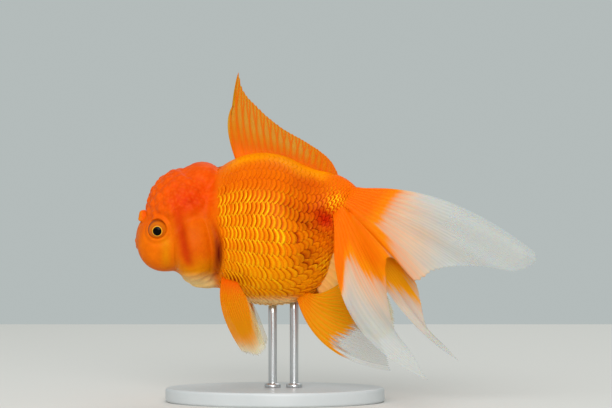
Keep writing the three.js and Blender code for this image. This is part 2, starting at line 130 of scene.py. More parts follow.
def add_piece(name, points, faces, uvs=None, values=None):
    """A smooth mesh object from points in mm and lists of face-corner arrays.

    uvs holds a layer name and one (u, v) per face corner; values holds one number or colour
    per point, kept as an attribute.
    """
    mesh = bpy.data.meshes.new(name)
    corners = np.concatenate([np.asarray(block).ravel() for block in faces])
    sizes = np.concatenate([np.full(len(block), np.shape(block)[1]) for block in faces])
    starts = np.concatenate([[0], np.cumsum(sizes)[:-1]])
    mesh.vertices.add(len(points))
    mesh.vertices.foreach_set("co", (np.asarray(points, float) * MM).ravel())
    mesh.loops.add(len(corners))
    mesh.loops.foreach_set("vertex_index", corners)
    mesh.polygons.add(len(sizes))
    mesh.polygons.foreach_set("loop_start", starts)
    mesh.polygons.foreach_set("use_smooth", np.ones(len(sizes), bool))
    for layer, corner_uvs in (uvs or {}).items():
        mesh.uv_layers.new(name=layer).data.foreach_set("uv", np.concatenate(corner_uvs).ravel())
    for kept, data in (values or {}).items():
        if np.ndim(data) == 2:
            colours = np.concatenate([data, np.ones((len(data), 1))], axis=1)
            mesh.attributes.new(kept, "FLOAT_COLOR", "POINT").data.foreach_set("color", colours.ravel())
        else:
            mesh.attributes.new(kept, "FLOAT", "POINT").data.foreach_set("value", data)
    mesh.update()
    mesh.validate()
    piece = bpy.data.objects.new(name, mesh)
    scene.collection.objects.link(piece)
    return piece


def quads(a, b, c, d):
    """Four-sided faces from four arrays that hold their first to fourth corners."""
    return np.stack([a, b, c, d], -1).reshape(-1, 4)


def tube_faces(ring_count, around):
    """Faces through rings of points, with one point before the first ring and one after the last.

    Returns the triangles round the first point, the quads between rings, and the last triangles.
    """
    step = np.arange(around)
    after = (step + 1) % around
    ring = 1 + np.arange(ring_count - 1)[:, None] * around
    walls = quads(ring + step, ring + around + step, ring + around + after, ring + after)
    first = np.stack([np.zeros(around, int), 1 + step, 1 + after], -1)
    tail = 1 + (ring_count - 1) * around
    last = np.stack([tail + step, np.full(around, 1 + ring_count * around), tail + after], -1)
    return [first, walls, last]


def turned(profile, around, centre, stretch=(1, 1)):
    """A profile of (radius, height) pairs swept round a vertical axis, closed at both ends.

    Each ring is (r cos a, r sin a), stretched along X and Y, about the centre.
    """
    angle = np.linspace(0, -2 * np.pi, around, endpoint=False)
    radius, height = np.asarray(profile, float).T
    ring = np.stack([np.cos(angle) * stretch[0], np.sin(angle) * stretch[1]], -1)
    rings = np.empty((len(radius), around, 3))
    rings[..., :2] = radius[:, None, None] * ring
    rings[..., 2] = height[:, None]
    ends = np.array([[0, 0, height[0]], [0, 0, height[-1]]])
    points = np.concatenate([ends[:1], rings.reshape(-1, 3), ends[1:]]) + [*centre, 0]
    return points, tube_faces(len(radius), around)


def add_node(nodes, kind, **values):
    """A new shader node with its inputs and settings given by name."""
    return set_inputs(nodes.new(kind), **values)


def object_noise(nodes, links, scale, detail, **values):
    """A noise pattern fixed in the piece's own space, scale cells to the metre; returns its 0 to 1."""
    place = add_node(nodes, "ShaderNodeTexCoord")
    noise = add_node(nodes, "ShaderNodeTexNoise", Scale=scale, Detail=detail, **values)
    links.new(place.outputs["Object"], noise.inputs["Vector"])
    return noise.outputs["Fac"]


def attribute(nodes, name, output="Fac"):
    """A mesh attribute as a socket: a number, or a colour when the output is Color."""
    return add_node(nodes, "ShaderNodeAttribute", attribute_name=name).outputs[output]


def ramp(nodes, links, value, stops):
    """A colour ramp fed by a socket; each stop is (position, (r, g, b))."""
    node = nodes.new("ShaderNodeValToRGB")
    while len(node.color_ramp.elements) < len(stops):
        node.color_ramp.elements.new(0.5)
    for element, (position, tone) in zip(node.color_ramp.elements, stops):
        element.position = position
        element.color = (*tone, 1)
    links.new(value, node.inputs["Fac"])
    return node.outputs["Color"]


def add_bump(nodes, links, shader, height, strength, distance):
    """Feeds a height socket to the shader's normal as a bump, its distance in metres."""
    bump = add_node(nodes, "ShaderNodeBump", Strength=strength, Distance=distance)
    links.new(height, bump.inputs["Height"])
    links.new(bump.outputs["Normal"], shader.inputs["Normal"])


base_low, base_high = [np.array(corner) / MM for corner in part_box("stand_base")]
base_half = (base_high - base_low)[:2] / 2
base_height = base_high[2]
edge_radius = 1.2
upper = [
    (1 - edge_radius / base_half[0] * (1 - np.cos(a)), base_height - edge_radius * (1 - np.sin(a)))
    for a in np.linspace(0, np.pi / 2, 9)
]
lower = [(r, base_height - z) for r, z in upper[::-1]]
inner = np.linspace(0.05, upper[-1][0] - 0.002, 12)
base_profile = [(r, 0) for r in inner] + lower + upper + [(r, base_height) for r in inner[::-1]]
points, faces = turned(base_profile, around=160, centre=(base_low + base_high)[:2] / 2, stretch=base_half)
base = add_piece("stand_base_plate", points, faces)

acrylic, nodes, links, shader = new_material("satin_acrylic")
grain = object_noise(nodes, links, scale=900.0, detail=3.0)
cloud = object_noise(nodes, links, scale=30.0, detail=4.0)
grey = ramp(nodes, links, cloud, [(0.3, (0.50, 0.52, 0.525)), (0.7, (0.56, 0.58, 0.585))])
links.new(grey, shader.inputs["Base Color"])
haze = ramp(nodes, links, grain, [(0.3, (0.32,) * 3), (0.7, (0.42,) * 3)])
links.new(haze, shader.inputs["Roughness"])
add_bump(nodes, links, shader, grain, strength=0.15, distance=0.0001)
base.data.materials.append(acrylic)
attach(base, "root")
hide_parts("stand_base")

steel, nodes, links, shader = new_material("brushed_rod_steel")
place = add_node(nodes, "ShaderNodeTexCoord")
along = add_node(nodes, "ShaderNodeMapping", Scale=(2500.0, 2500.0, 60.0))
brushing = add_node(nodes, "ShaderNodeTexNoise", Scale=1.0, Detail=2.0)
links.new(place.outputs["Object"], along.inputs["Vector"])
links.new(along.outputs["Vector"], brushing.inputs["Vector"])
tone = ramp(nodes, links, brushing.outputs["Fac"], [(0.3, (0.50, 0.51, 0.52)), (0.7, (0.66, 0.67, 0.68))])
links.new(tone, shader.inputs["Base Color"])
shine = ramp(nodes, links, brushing.outputs["Fac"], [(0.3, (0.26,) * 3), (0.7, (0.38,) * 3)])
links.new(shine, shader.inputs["Roughness"])
set_inputs(shader, Metallic=1.0)
add_bump(nodes, links, shader, brushing.outputs["Fac"], strength=0.2, distance=0.00005)

for rod_name in ("stand_rod_1", "stand_rod_2"):
    rod_low, rod_high = [np.array(corner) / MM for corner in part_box(rod_name)]
    rod_radius = (rod_high - rod_low)[0] / 2
    foot = base_height - 0.3
    collar = [(rod_radius + 1.6, foot), (rod_radius + 1.6, foot + 1.5), (rod_radius + 1.2, foot + 1.9)]
    shaft = [(rod_radius + 0.05, foot + 2.0), (rod_radius, foot + 2.2), (rod_radius, foot + 3)]
    shaft += [(rod_radius, z) for z in np.linspace(foot + 4, rod_high[2], 12)]
    flat_end, rounded_end = [(0.5, foot), (rod_radius + 1.5, foot)], (rod_radius * 0.6, rod_high[2] + 0.6)
    rod_profile = [*flat_end, *collar, *shaft, rounded_end]
    points, faces = turned(rod_profile, around=48, centre=(rod_low + rod_high)[:2] / 2)
    rod = add_piece(rod_name + "_steel", points, faces)
    rod.data.materials.append(steel)
    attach(rod, "root")
    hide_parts(rod_name)


# ---------------------------------------------------------------- the skin
# One wet skin, bare on hood, face and gill covers and under the scales on trunk and tail stalk. It
# is a smooth union of fleshy lumps, bent to the fish's left from mid-body and creased inside the
# bend, with the hood's nodules, gill grooves, eye sockets, nostrils and mouth worked into it.
coat_depth = 0.45
bend_from, bend_to, bend_turn = -2, 34, np.radians(30)
head_centre = np.array([-41.0, 0, 70])
stalk_centre_x = 30
eye_at, eye_radius = np.array([-48.0, 12.3, 72.4]), 4.5
eye_axis = np.array([-0.26, 0.96, 0.10])
nostril_at = np.array([-55.4, 3.8, 78.2])
hood_at, hood_half = np.array([-38.0, 0, 80]), np.array([15.9, 18.0, 18.0])
mouth_height, mouth_half_width = 66.4, 3.4
# The hollow inside the bend, which gets painted shade and no gold sheen.
shaded_hollow_x, shaded_hollow_z = 25.5, 76.6

# Name, centre, half-sizes and width of the blend; a lump with y above zero is a pair.
body_lumps = [
    ("trunk", (-5, 0, 73), (30.5, 25.0, 32.0), 0),
    ("belly", (1.5, 0, 62.6), (24.5, 22.5, 21.8), 4),
    ("rump", (14, 0, 78), (19, 13.0, 19.4), 5),
    ("stalk", (27, 0, 82.8), (12.8, 6.0, 9.2), 5),
    ("saddle", (22, 0, 86), (14, 4, 10), 4),
    ("skull", (-42, 0, 69), (16.6, 15.8, 14.4), 2.5),
    ("hood", hood_at, hood_half, 3.0),
    ("nape", (-30.6, 0, 92.1), (9.6, 12.0, 8.9), 1.5),
    ("cheek", (-46.5, 6.4, 65.4), (10.8, 9.2, 10.7), 2.5),
    ("gill cover", (-33.5, 9.4, 65.5), (9.6, 11.8, 15.0), 1.2),
    ("throat", (-29.2, 0, 60.1), (12.7, 12.0, 13.0), 2.5),
    ("lips", (-55.9, 0, 66.6), (2.0, 4.0, 2.8), 2.0),
    ("nostril flap", nostril_at, (1.8, 1.7, 2.6), 1.3),
    ("nostril curl", (-56.3, 4.1, 76.4), (1.2, 1.5, 1.3), 0.9),
]
lobe_count, lobe_lowest, lobe_sink = 90, -0.1, 0.925
lobe_radius, lobe_blend = 1.9, 1.6


def smooth_step(low, high, value):
    """0 below low, 1 above high, and 3t^2 - 2t^3 between them."""
    t = np.clip((value - low) / (high - low), 0, 1)
    return t * t * (3 - 2 * t)


def smooth_min(a, b, width):
    """The smaller of two distances, less h^2 width / 4 where they differ by less than the width.

    h runs from 1 where they are equal to 0 where they differ by the width.
    """
    if width <= 0:
        return np.minimum(a, b)
    h = np.maximum(width - np.abs(a - b), 0) / width
    return np.minimum(a, b) - h * h * width / 4


def spiral(count, lowest):
    """Unit directions on a spiral: even steps down from straight up, a golden angle between them."""
    step = np.arange(count)
    up = 1 - (step + 0.5) / count * (1 - lowest)
    turn = step * np.pi * (3 - np.sqrt(5))
    level = np.sqrt(1 - up * up)
    return np.stack([level * np.cos(turn), level * np.sin(turn), up], -1)


def bell(value, width):
    """A rounded bump, exp(-(value / width)^2)."""
    return np.exp(-np.square(value / width))


def crease(x, z):
    """1 along the crease, a line that runs down and back across the flank, fading to each side."""
    back, up = x - 18.5, z - 73.8
    across, along = 0.52 * back + 0.854 * up, 0.854 * back - 0.52 * up
    return bell(across, 1.9) * bell(along, 10)


def fold_depth(points):
    """How deep the left flank is creased inside the bend: a sloping valley between two hollows."""
    x, y, z = np.moveaxis(points, -1, 0)
    valley = 1.7 * crease(x, z)
    above = 1.5 * bell(np.hypot(x - 25.5, z - 76.5), 4.2)
    below = 1.0 * bell(np.hypot(x - 18.5, z - 60.5), 4)
    return (valley + above + below) * smooth_step(-2, -6, y)


def body_distance(points):
    """Signed distance to the straight fish: a smooth union of ellipsoids and hood lobes.

    An ellipsoid's distance is about k0 (k0 - 1) / k1, where k0 is the length of the point over
    the half-sizes and k1 that of the point over their squares. The lobes are small balls on a
    spiral just inside the hood.
    """
    distance = np.full(points.shape[:-1], np.inf)
    for _, at, half, blend in body_lumps:
        offset = points - at
        if at[1] > 0:
            offset[..., 1] = np.abs(points[..., 1]) - at[1]
        k0 = np.linalg.norm(offset / half, axis=-1)
        k1 = np.linalg.norm(offset / np.square(half), axis=-1)
        distance = smooth_min(distance, k0 * (k0 - 1) / np.maximum(k1, 1e-6), blend)
    distance += fold_depth(points)
    near_hood = points[..., 0] < -15
    lobed = distance[near_hood]
    for lobe in hood_at + spiral(lobe_count, lobe_lowest) * hood_half * lobe_sink:
        ball = np.linalg.norm(points[near_hood] - lobe, axis=-1) - lobe_radius
        lobed = smooth_min(lobed, ball, lobe_blend)
    distance[near_hood] = lobed
    return distance


def surface_along(origin, direction, longest=60.0, halvings=17):
    """Where each ray from inside meets the skin, by halving the bracket from 0 to the longest."""
    near = np.zeros(direction.shape[:-1])
    far = np.full(direction.shape[:-1], longest)
    for _ in range(halvings):
        middle = (near + far) / 2
        inside = body_distance(origin + direction * middle[..., None]) < -coat_depth
        near, far = np.where(inside, middle, near), np.where(inside, far, middle)
    return origin + direction * ((near + far) / 2)[..., None]


def axis_height(x):
    """Height of the line inside the fish from which its rings are drawn; it steps up to the stalk."""
    return 70 + 8.7 * smooth_step(-4, 26, x)


def bend_fish(points):
    """Turns the straight fish in plan: its heading swings 30 degrees, slowly at both ends.

    The spine is the running sum of short steps along the cosine and sine of that heading, and
    each point stays as far out to the side of the spine as it was.
    """
    x, y, z = np.moveaxis(points, -1, 0)
    station = np.linspace(bend_from, bend_to + 20, 400)
    heading = bend_turn * smooth_step(bend_from, bend_to, station)
    step, halfway = station[1] - station[0], (heading[1:] + heading[:-1]) / 2
    spine_x = bend_from + np.append(0, np.cumsum(np.cos(halfway)) * step)
    spine_y = np.append(0, -np.cumsum(np.sin(halfway)) * step)
    angle = np.interp(x, station, heading)
    along = np.interp(x, station, spine_x) + np.minimum(x - bend_from, 0)
    return np.stack([along + y * np.sin(angle), np.interp(x, station, spine_y) + y * np.cos(angle), z], -1)


def grid_normals(grid, wrapped):
    """Unit normals of a grid of points: the cross product of its two directions of travel."""
    down = np.gradient(grid, axis=0)
    across = np.gradient(grid, axis=1)
    if wrapped:
        across = (np.roll(grid, -1, axis=1) - np.roll(grid, 1, axis=1)) / 2
    normal = np.cross(down, across)
    return normal / np.maximum(np.linalg.norm(normal, axis=-1, keepdims=True), 1e-9)


def gill_reach(x, z):
    """How far out from a gill cover's middle, 1 on its rear edge, and how far behind it in mm.

    Seen from the side the cover is an ellipse that leans back.
    """
    lean = np.radians(8)
    dx, dz = x + 31.6, z - 65.4
    back, up = dx * np.cos(lean) + dz * np.sin(lean), dz * np.cos(lean) - dx * np.sin(lean)
    return np.hypot(back / 7.9, up / 15.0), back


def cheek_groove(x, z):
    """Distance behind the groove between cheek and gill cover, a line that runs down and back."""
    return x + 39.2 - 0.17 * (76 - z) - 0.0025 * np.square(76 - z)


def hood_share(x, z):
    """1 on the hood and 0 on the face below it, across a soft sloping edge."""
    return smooth_step(-4, 4, z - 77 - 0.13 * (x + 55)) * smooth_step(-22.5, -25, x)


def nodules(points, count):
    """Raspberry-like knobs: 1 at the middle of each cell of a spiral, 0 at its border.

    It is a smooth step of the difference over the sum of the angles to the two nearest centres.
    """
    ray = (points - hood_at) / hood_half
    ray /= np.linalg.norm(ray, axis=-1, keepdims=True)
    jitter = np.random.default_rng(7).normal(0, 0.022, (count, 3))
    centres = spiral(count, -0.35) + jitter
    centres /= np.linalg.norm(centres, axis=-1, keepdims=True)
    nearest = np.sort(np.stack([ray @ c for c in centres]), axis=0)[-2:]
    first, second = np.arccos(np.clip(nearest[1], -1, 1)), np.arccos(np.clip(nearest[0], -1, 1))
    return smooth_step(0, 0.9, (second - first) / (second + first) * 2.2)


def skin_relief(points, knobs):
    """Height in mm added to the plain body at each point of the head."""
    x, y, z = np.moveaxis(points, -1, 0)
    side = np.abs(y)
    hooded = hood_share(x, z)
    relief = hooded * (0.12 + 0.13 * knobs) + 0.2 * (1 - hooded) * smooth_step(-30, -42, x)
    # The groove in front of the gill cover, and the cover's raised rear edge with the slit behind.
    flank_side = smooth_step(5, 11, side)
    groove = cheek_groove(x, z)
    level = smooth_step(55, 60, z) * smooth_step(86, 78, z)
    relief += flank_side * level * (0.25 * bell(groove + 3.2, 2.0) - 0.7 * bell(groove, 1.7))
    reach, back = gill_reach(x, z)
    rear = flank_side * smooth_step(0, 4, back)
    relief += rear * 0.5 * smooth_step(1.04, 0.96, reach) * smooth_step(84, 76, z)
    relief -= rear * 1.6 * bell(reach - 1.10, 0.065) * smooth_step(76, 68, z)
    # The eye's socket follows the ball just under its surface, inside a rim that is thicker above.
    offset = np.stack([x, side, z], -1) - eye_at
    outward = offset @ (eye_axis / np.linalg.norm(eye_axis))
    off_eye = np.sqrt(np.maximum(np.square(offset).sum(-1) - outward**2, 0))
    above = (z - eye_at[2]) / np.maximum(off_eye, 0.5)
    facing = smooth_step(-2, 0, outward)
    rim = 0.3 + 0.55 * smooth_step(-0.3, 0.9, above)
    relief += facing * (rim * bell(off_eye - 4.75, 0.7) - 0.3 * bell(off_eye - 6.2, 0.8))
    proud = np.linalg.norm(offset, axis=-1) - eye_radius + 0.45
    relief -= facing * np.maximum(proud, 0) * smooth_step(4.35, 3.75, off_eye)
    # The mouth: a short slit inside a ring of lip, and a pit under each nostril's flap.
    front = smooth_step(-52, -55, x)
    drop = z - mouth_height + 0.03 * side * side
    lip = np.hypot(side / mouth_half_width, drop / 1.5)
    relief += front * (0.35 * bell(lip - 1, 0.45) - 1.2 * bell(drop, 0.4) * smooth_step(3.5, 2.8, side))
    pit = np.hypot(side - 3.9, z - 75.2)
    relief -= smooth_step(-50, -54, x) * 0.9 * bell(pit, 0.9)
    # Sloping rays in the thin membrane under the gill cover.
    throat = smooth_step(57, 53, z) * smooth_step(-44, -40, x) * smooth_step(-22, -25, x)
    relief += throat * 0.16 * np.cos(1.5 * (z - 0.35 * (x + 30) + 0.5 * side))
    return relief


head_rings, trunk_rings, tail_rings, around = 130, 108, 10, 380
ring_count = head_rings + trunk_rings + tail_rings - 1
head_lean = np.linspace(0, np.pi / 2, head_rings + 1)[1:-1]
trunk_x = np.linspace(head_centre[0], stalk_centre_x, trunk_rings + 1)
tail_lean = np.pi / 2 * (1 + np.arange(1, tail_rings) / tail_rings)
lean = np.concatenate([head_lean, np.full(len(trunk_x), np.pi / 2), tail_lean])
ring_x = np.concatenate([
    np.full(len(head_lean), head_centre[0]), trunk_x, np.full(len(tail_lean), stalk_centre_x),
])
ring_z = axis_height(ring_x)
turn = 2 * np.pi * np.arange(around) / around
direction = np.stack([
    -np.cos(lean)[:, None] + 0 * turn,
    np.sin(lean)[:, None] * np.sin(turn),
    np.sin(lean)[:, None] * np.cos(turn),
], -1)
origin = np.stack([ring_x, 0 * ring_x, ring_z], -1)[:, None, :] + 0 * direction
rings = surface_along(origin, direction)
nodule_count = 640
hood_knobs = nodules(rings.reshape(-1, 3), nodule_count).reshape(rings.shape[:-1])
relief = skin_relief(rings, hood_knobs)
rings = rings + grid_normals(rings, True) * relief[..., None]
snout, stalk_end = rings[0].mean(axis=0), rings[-1].mean(axis=0)
straight_skin = np.concatenate([[snout], rings.reshape(-1, 3), [stalk_end]])


def colour(red, green, blue):
    """A linear colour from the everyday 0 to 255 scale."""
    return (np.array([red, green, blue]) / 255) ** 2.2


def tint(base, over, share):
    """Lays one colour over others by its share at each point."""
    return base + (over - base) * np.clip(share, 0, 1)[..., None]


def markings(points):
    """The fish's colours at points of the straight body: one colour laid over another by place."""
    x, y, z = np.moveaxis(points, -1, 0)
    side, left = np.abs(y), smooth_step(0, -4, y)
    head, trunk = smooth_step(-23, -27, x), smooth_step(-26, -20, x)
    band = smooth_step(14, 8, side) * smooth_step(90, 96, z) * smooth_step(-24, -14, x)
    shoulder = bell(x - 17, 8) * bell(z - 91, 5) * smooth_step(4, 8, side)
    jowl = bell(x + 44.9, 2.2) * smooth_step(72, 66, z) * smooth_step(54, 60, z)
    groove = bell(cheek_groove(x, z), 2.7) * smooth_step(54, 60, z) * smooth_step(90, 80, z)
    hood = smooth_step(-7, 9, z - 76 - 0.13 * (x + 55)) * smooth_step(-22.5, -26, x)
    flap = smooth_step(4.2, 2.2, np.hypot(side - 3.8, z - 77.8)) * smooth_step(-54.6, -57.0, x)
    reach, back = gill_reach(x, z)
    slit = smooth_step(4, 8, side) * smooth_step(0, 4, back)
    fin_pit_shade = bell(np.hypot((x + 16.5) / 5, (z - 51.6) / 2.4), 1) * smooth_step(6, 10, side)
    hollow = np.hypot(x - shaded_hollow_x, z - shaded_hollow_z)
    shaded_arc = bell(z - 83 + 0.16 * (x - 2), 2.6) * smooth_step(-1, 7, x) * smooth_step(29, 23, x)
    layers = [
        # Flank: amber below, pale under the belly, golden along the back and redder on the stalk.
        ((238, 122, 2), smooth_step(86, 74, z) * trunk),
        ((244, 148, 4), smooth_step(66, 54, z) * trunk),
        ((255, 218, 148), smooth_step(45.6, 42.4, z) * smooth_step(-24, -16, x)),
        ((255, 148, 0), band * smooth_step(28, 20, x)),
        ((212, 82, 0), 0.8 * shoulder),
        ((240, 104, 2), smooth_step(24, 32, x)),
        ((250, 150, 10), 0.8 * smooth_step(6, 14, x) * smooth_step(66, 56, z)),
        # Face, cheek and gill cover, cream at the throat, with a red groove between them.
        ((228, 108, 4), head),
        ((222, 128, 0), head * jowl),
        ((219, 96, 0), head * smooth_step(1.05, 0.6, reach)),
        ((226, 138, 6), head * smooth_step(64, 54, z) * smooth_step(-45, -36, x)),
        ((246, 206, 132), head * smooth_step(55.5, 50, z)),
        ((188, 44, 0), 0.8 * head * groove),
        # The hood is redder, most of all behind its middle, and its nostril flaps are amber.
        ((230, 84, 2), hood),
        ((214, 44, 0), 0.85 * hood * bell(np.hypot(x + 35, z - 82), 8)),
        ((236, 94, 2), 0.8 * hood * smooth_step(-42, -52, x)),
        ((218, 120, 4), 0.9 * flap),
        # Painted shade darkens the slit behind the gill cover and the pit of the pectoral fin.
        ((205, 62, 2), 0.7 * slit * bell(reach - 1.10, 0.16) * bell(z - 66, 12)),
        ((92, 12, 2), 0.98 * slit * bell(reach - 1.05, 0.23) * bell(z - 62.5, 8.5)),
        ((150, 30, 0), 0.95 * fin_pit_shade),
        # Painted shade on the inside of the bend: dark red along an arc above the creases, in the hollow
        # at their top and along the crease itself, and brown in the hollow below them.
        ((200, 70, 0), 0.6 * left * shaded_arc),
        ((198, 24, 0), 0.95 * left * bell(hollow, 5.2)),
        ((180, 56, 0), 0.5 * left * crease(x, z)),
        ((186, 78, 0), 0.7 * left * bell(x - 18.5, 5) * bell(z - 60, 5)),
    ]
    paint = np.zeros(points.shape) + colour(233, 107, 2)
    for over, share in layers:
        paint = tint(paint, colour(*over), share)
    return paint


def ring_uv(place_around, place_along):
    """The skin's own unwrap: once round across, snout to tail up, kept inside the unit square."""
    return 0.01 + 0.98 * np.stack(np.broadcast_arrays(place_around, place_along), -1)


def rise(ring):
    """How far along the unwrap a ring lies, with the snout at 0 and the stalk's end at 1."""
    return (ring + 1) / (ring_count + 1)


ring, column = np.arange(ring_count - 1)[:, None], np.arange(around)
left, middle, right = column / around, (column + 0.5) / around, (column + 1) / around
last_rise = rise(ring_count - 1)
first_uv = np.stack([ring_uv(middle, 0.0), ring_uv(left, rise(0)), ring_uv(right, rise(0))], 1)
quad_uv = np.stack([
    ring_uv(left, rise(ring)), ring_uv(left, rise(ring + 1)),
    ring_uv(right, rise(ring + 1)), ring_uv(right, rise(ring)),
], 2)
last_uv = np.stack([ring_uv(left, last_rise), ring_uv(middle, 1.0), ring_uv(right, last_rise)], 1)
skin_uvs = {"OFBake": [block.reshape(-1, 2) for block in (first_uv, quad_uv, last_uv)]}
knobs_shown = hood_knobs * hood_share(rings[..., 0], rings[..., 2])
knob_values = np.concatenate([[0], knobs_shown.ravel(), [0]])
skin = add_piece(
    "fish_skin",
    bend_fish(straight_skin),
    tube_faces(ring_count, around),
    skin_uvs,
    {"Marking": markings(straight_skin), "Knob": knob_values},
)

def feed(links, socket, value):
    """Gives an input socket its value: a link from an output socket, or a plain value."""
    if isinstance(value, bpy.types.NodeSocket):
        links.new(value, socket)
    else:
        socket.default_value = value


def blend_colours(nodes, links, factor, first, second, mode="MIX"):
    """A Mix node between two colours; its factor and colours are sockets or plain values."""
    mix = add_node(nodes, "ShaderNodeMix", data_type="RGBA", blend_type=mode)
    for socket, value in zip((mix.inputs[0], mix.inputs[6], mix.inputs[7]), (factor, first, second)):
        feed(links, socket, value)
    return mix.outputs[2]


flesh, nodes, links, shader = new_material("wet_goldfish_skin")
mottle = object_noise(nodes, links, scale=260.0, detail=6.0, Roughness=0.7)
place = add_node(nodes, "ShaderNodeTexCoord")
pores = add_node(nodes, "ShaderNodeTexVoronoi", Scale=1100.0)
links.new(place.outputs["Object"], pores.inputs["Vector"])
clouding = ramp(nodes, links, mottle, [(0.32, (0.87, 0.78, 0.74)), (0.68, (1, 1, 1))])
painted = blend_colours(nodes, links, 1.0, attribute(nodes, "Marking", "Color"), clouding, "MULTIPLY")
# Painted highlight: the tips of the hood's knobs are made lighter.
knob_tip_highlight = ramp(nodes, links, attribute(nodes, "Knob"), [(0.5, (0, 0, 0)), (1.0, (0.10, 0.10, 0.10))])
painted = blend_colours(nodes, links, knob_tip_highlight, painted, (0.93, 0.20, 0.02, 1))
links.new(painted, shader.inputs["Base Color"])
set_inputs(shader, Roughness=0.48, Specular_IOR_Level=0.05, Subsurface_Weight=0.12, Subsurface_Scale=0.5)
set_inputs(shader, Subsurface_Radius=(0.004, 0.0012, 0.0004))
add_bump(nodes, links, shader, pores.outputs["Distance"], strength=0.25, distance=0.0002)
skin.data.materials.append(flesh)
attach(skin, "root")
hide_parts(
    "hood", "face", "gill_cover_left", "gill_cover_right", "nostril_flap_left",
    "nostril_flap_right", "trunk", "tail_stalk",
)


# ---------------------------------------------------------------- the scales
# Thin bony plates set in rows along trunk and tail stalk, each rooted under the one in front, with
# the rows half a step out from each other like tiles. Their free rear halves carry the gold: partly
# the scales' own, partly a painted sheen where light would glint on them.
row_count, column_count, spare_columns = 16, 38, 20
first_row, last_row = 0.04, 0.945
row_step = (last_row - first_row) / (row_count - 1)
scale_half_height = 0.84
scale_length = 1.2
scale_roundness = 2.0
plate_across, plate_steps = 9, (0, 0.22, 0.6, 1.0)
coat_front, coat_rear = -27.5, 38
first_scale_x, gill_clearance = -23.4, 1.17


def running_length(grid, axis):
    """Length walked along each line of a grid of points, from 0 at its start."""
    steps = np.linalg.norm(np.diff(grid, axis=axis), axis=-1)
    pad = [(0, 0), (0, 0)]
    pad[axis] = (1, 0)
    return np.pad(np.cumsum(steps, axis=axis), pad)


def resample(grid, measure, wanted):
    """Each row of a grid of points read where its measure reaches the wanted values."""
    wanted = np.broadcast_to(wanted, (len(grid), wanted.shape[-1]))
    out = np.empty((*wanted.shape, 3))
    for i, (line, ruler, target) in enumerate(zip(grid, measure, wanted)):
        out[i] = np.stack([np.interp(target, ruler, line[:, k]) for k in range(3)], -1)
    return out


def flank_lattice(side):
    """One flank laid out square: rows at even shares of the girth, and columns of scale steps.

    On both flanks the columns are spaced by length walked on the bent left one. They close up on
    the stalk, and on the belly they are widest a little behind its middle.
    """
    x = np.linspace(coat_front, coat_rear, 132)
    share = np.linspace(0, 1, 161)
    turn = side * np.pi * share
    direction = np.stack([0 * turn, np.sin(turn), np.cos(turn)], -1)[None] + np.zeros((len(x), 1, 1))
    origin = np.stack([x, 0 * x, axis_height(x)], -1)[:, None, :] + 0 * direction
    sections = surface_along(origin, direction)
    sections[..., 1] = side * np.abs(sections[..., 1])
    girth = running_length(sections, 1)
    sections = resample(sections, girth, girth[:, -1:] * share)
    lines = np.swapaxes(sections, 0, 1)
    walked = running_length(bend_fish(lines * [1, -side, 1]), 1)
    column = np.linspace(0, 1, 4 * column_count + 1)
    back_pitch = 1.08 - 0.55 * smooth_step(0.62, 0.95, column)
    belly_pitch = 1.13 - 0.6 * smooth_step(0.66, 0.94, column) + 0.95 * bell(column - 0.60, 0.19)
    pitch = back_pitch + (belly_pitch - back_pitch) * smooth_step(0.2, 0.6, share)[:, None]
    reached = np.cumsum(pitch, axis=1) - pitch[:, :1]
    reached /= reached[:, -1:]
    return resample(lines, walked, reached * walked[:, -1:])


def read_lattice(grid, share, column):
    """Bilinear reading of a lattice at girth shares (0 to 1) and columns (0 to column_count)."""
    i = np.clip(share, 0, 1) * (grid.shape[0] - 1)
    j = np.clip(column / column_count, 0, 1) * (grid.shape[1] - 1)
    i0 = np.minimum(i.astype(int), grid.shape[0] - 2)
    j0 = np.minimum(j.astype(int), grid.shape[1] - 2)
    fi, fj = (i - i0)[..., None], (j - j0)[..., None]
    near = grid[i0, j0] * (1 - fj) + grid[i0, j0 + 1] * fj
    far = grid[i0 + 1, j0] * (1 - fj) + grid[i0 + 1, j0 + 1] * fj
    return near * (1 - fi) + far * fi


def row_slant(row):
    """Columns by which a row is set back: the running sum of a lean that grows towards the belly."""
    at = np.linspace(-2, row_count + 1, 200)
    lean = np.interp(at, [0, 2, 6, 8, 11, 15], [0, -0.1, -0.15, 0.3, 0.75, 0.9])
    return np.interp(row, at, np.cumsum(lean) * (at[1] - at[0]))


def plate_faces(count, side):
    """Faces of so many plates: each has a grid on top, a plain underside, a rim, a root and ends."""
    top = np.arange(plate_across * len(plate_steps)).reshape(plate_across, -1)
    low = top.size + np.arange(2 * plate_across).reshape(plate_across, 2)
    plate = quads(top[:-1, :-1], top[:-1, 1:], top[1:, 1:], top[1:, :-1])
    under = quads(low[:-1, 0], low[1:, 0], low[1:, 1], low[:-1, 1])
    rim = quads(top[:-1, 0], top[1:, 0], low[1:, 0], low[:-1, 0])
    root = quads(top[1:, -1], top[:-1, -1], low[:-1, 1], low[1:, 1])
    ends = np.array([[*top[0, ::-1], *low[0]], [*top[-1], *low[-1, ::-1]]])
    one = [np.concatenate([plate, under, rim, root]), ends]
    if side > 0:
        one = [block[:, ::-1] for block in one]
    offsets = (np.arange(count) * (top.size + low.size))[:, None, None]
    return [(block[None] + offsets).reshape(-1, block.shape[1]) for block in one]


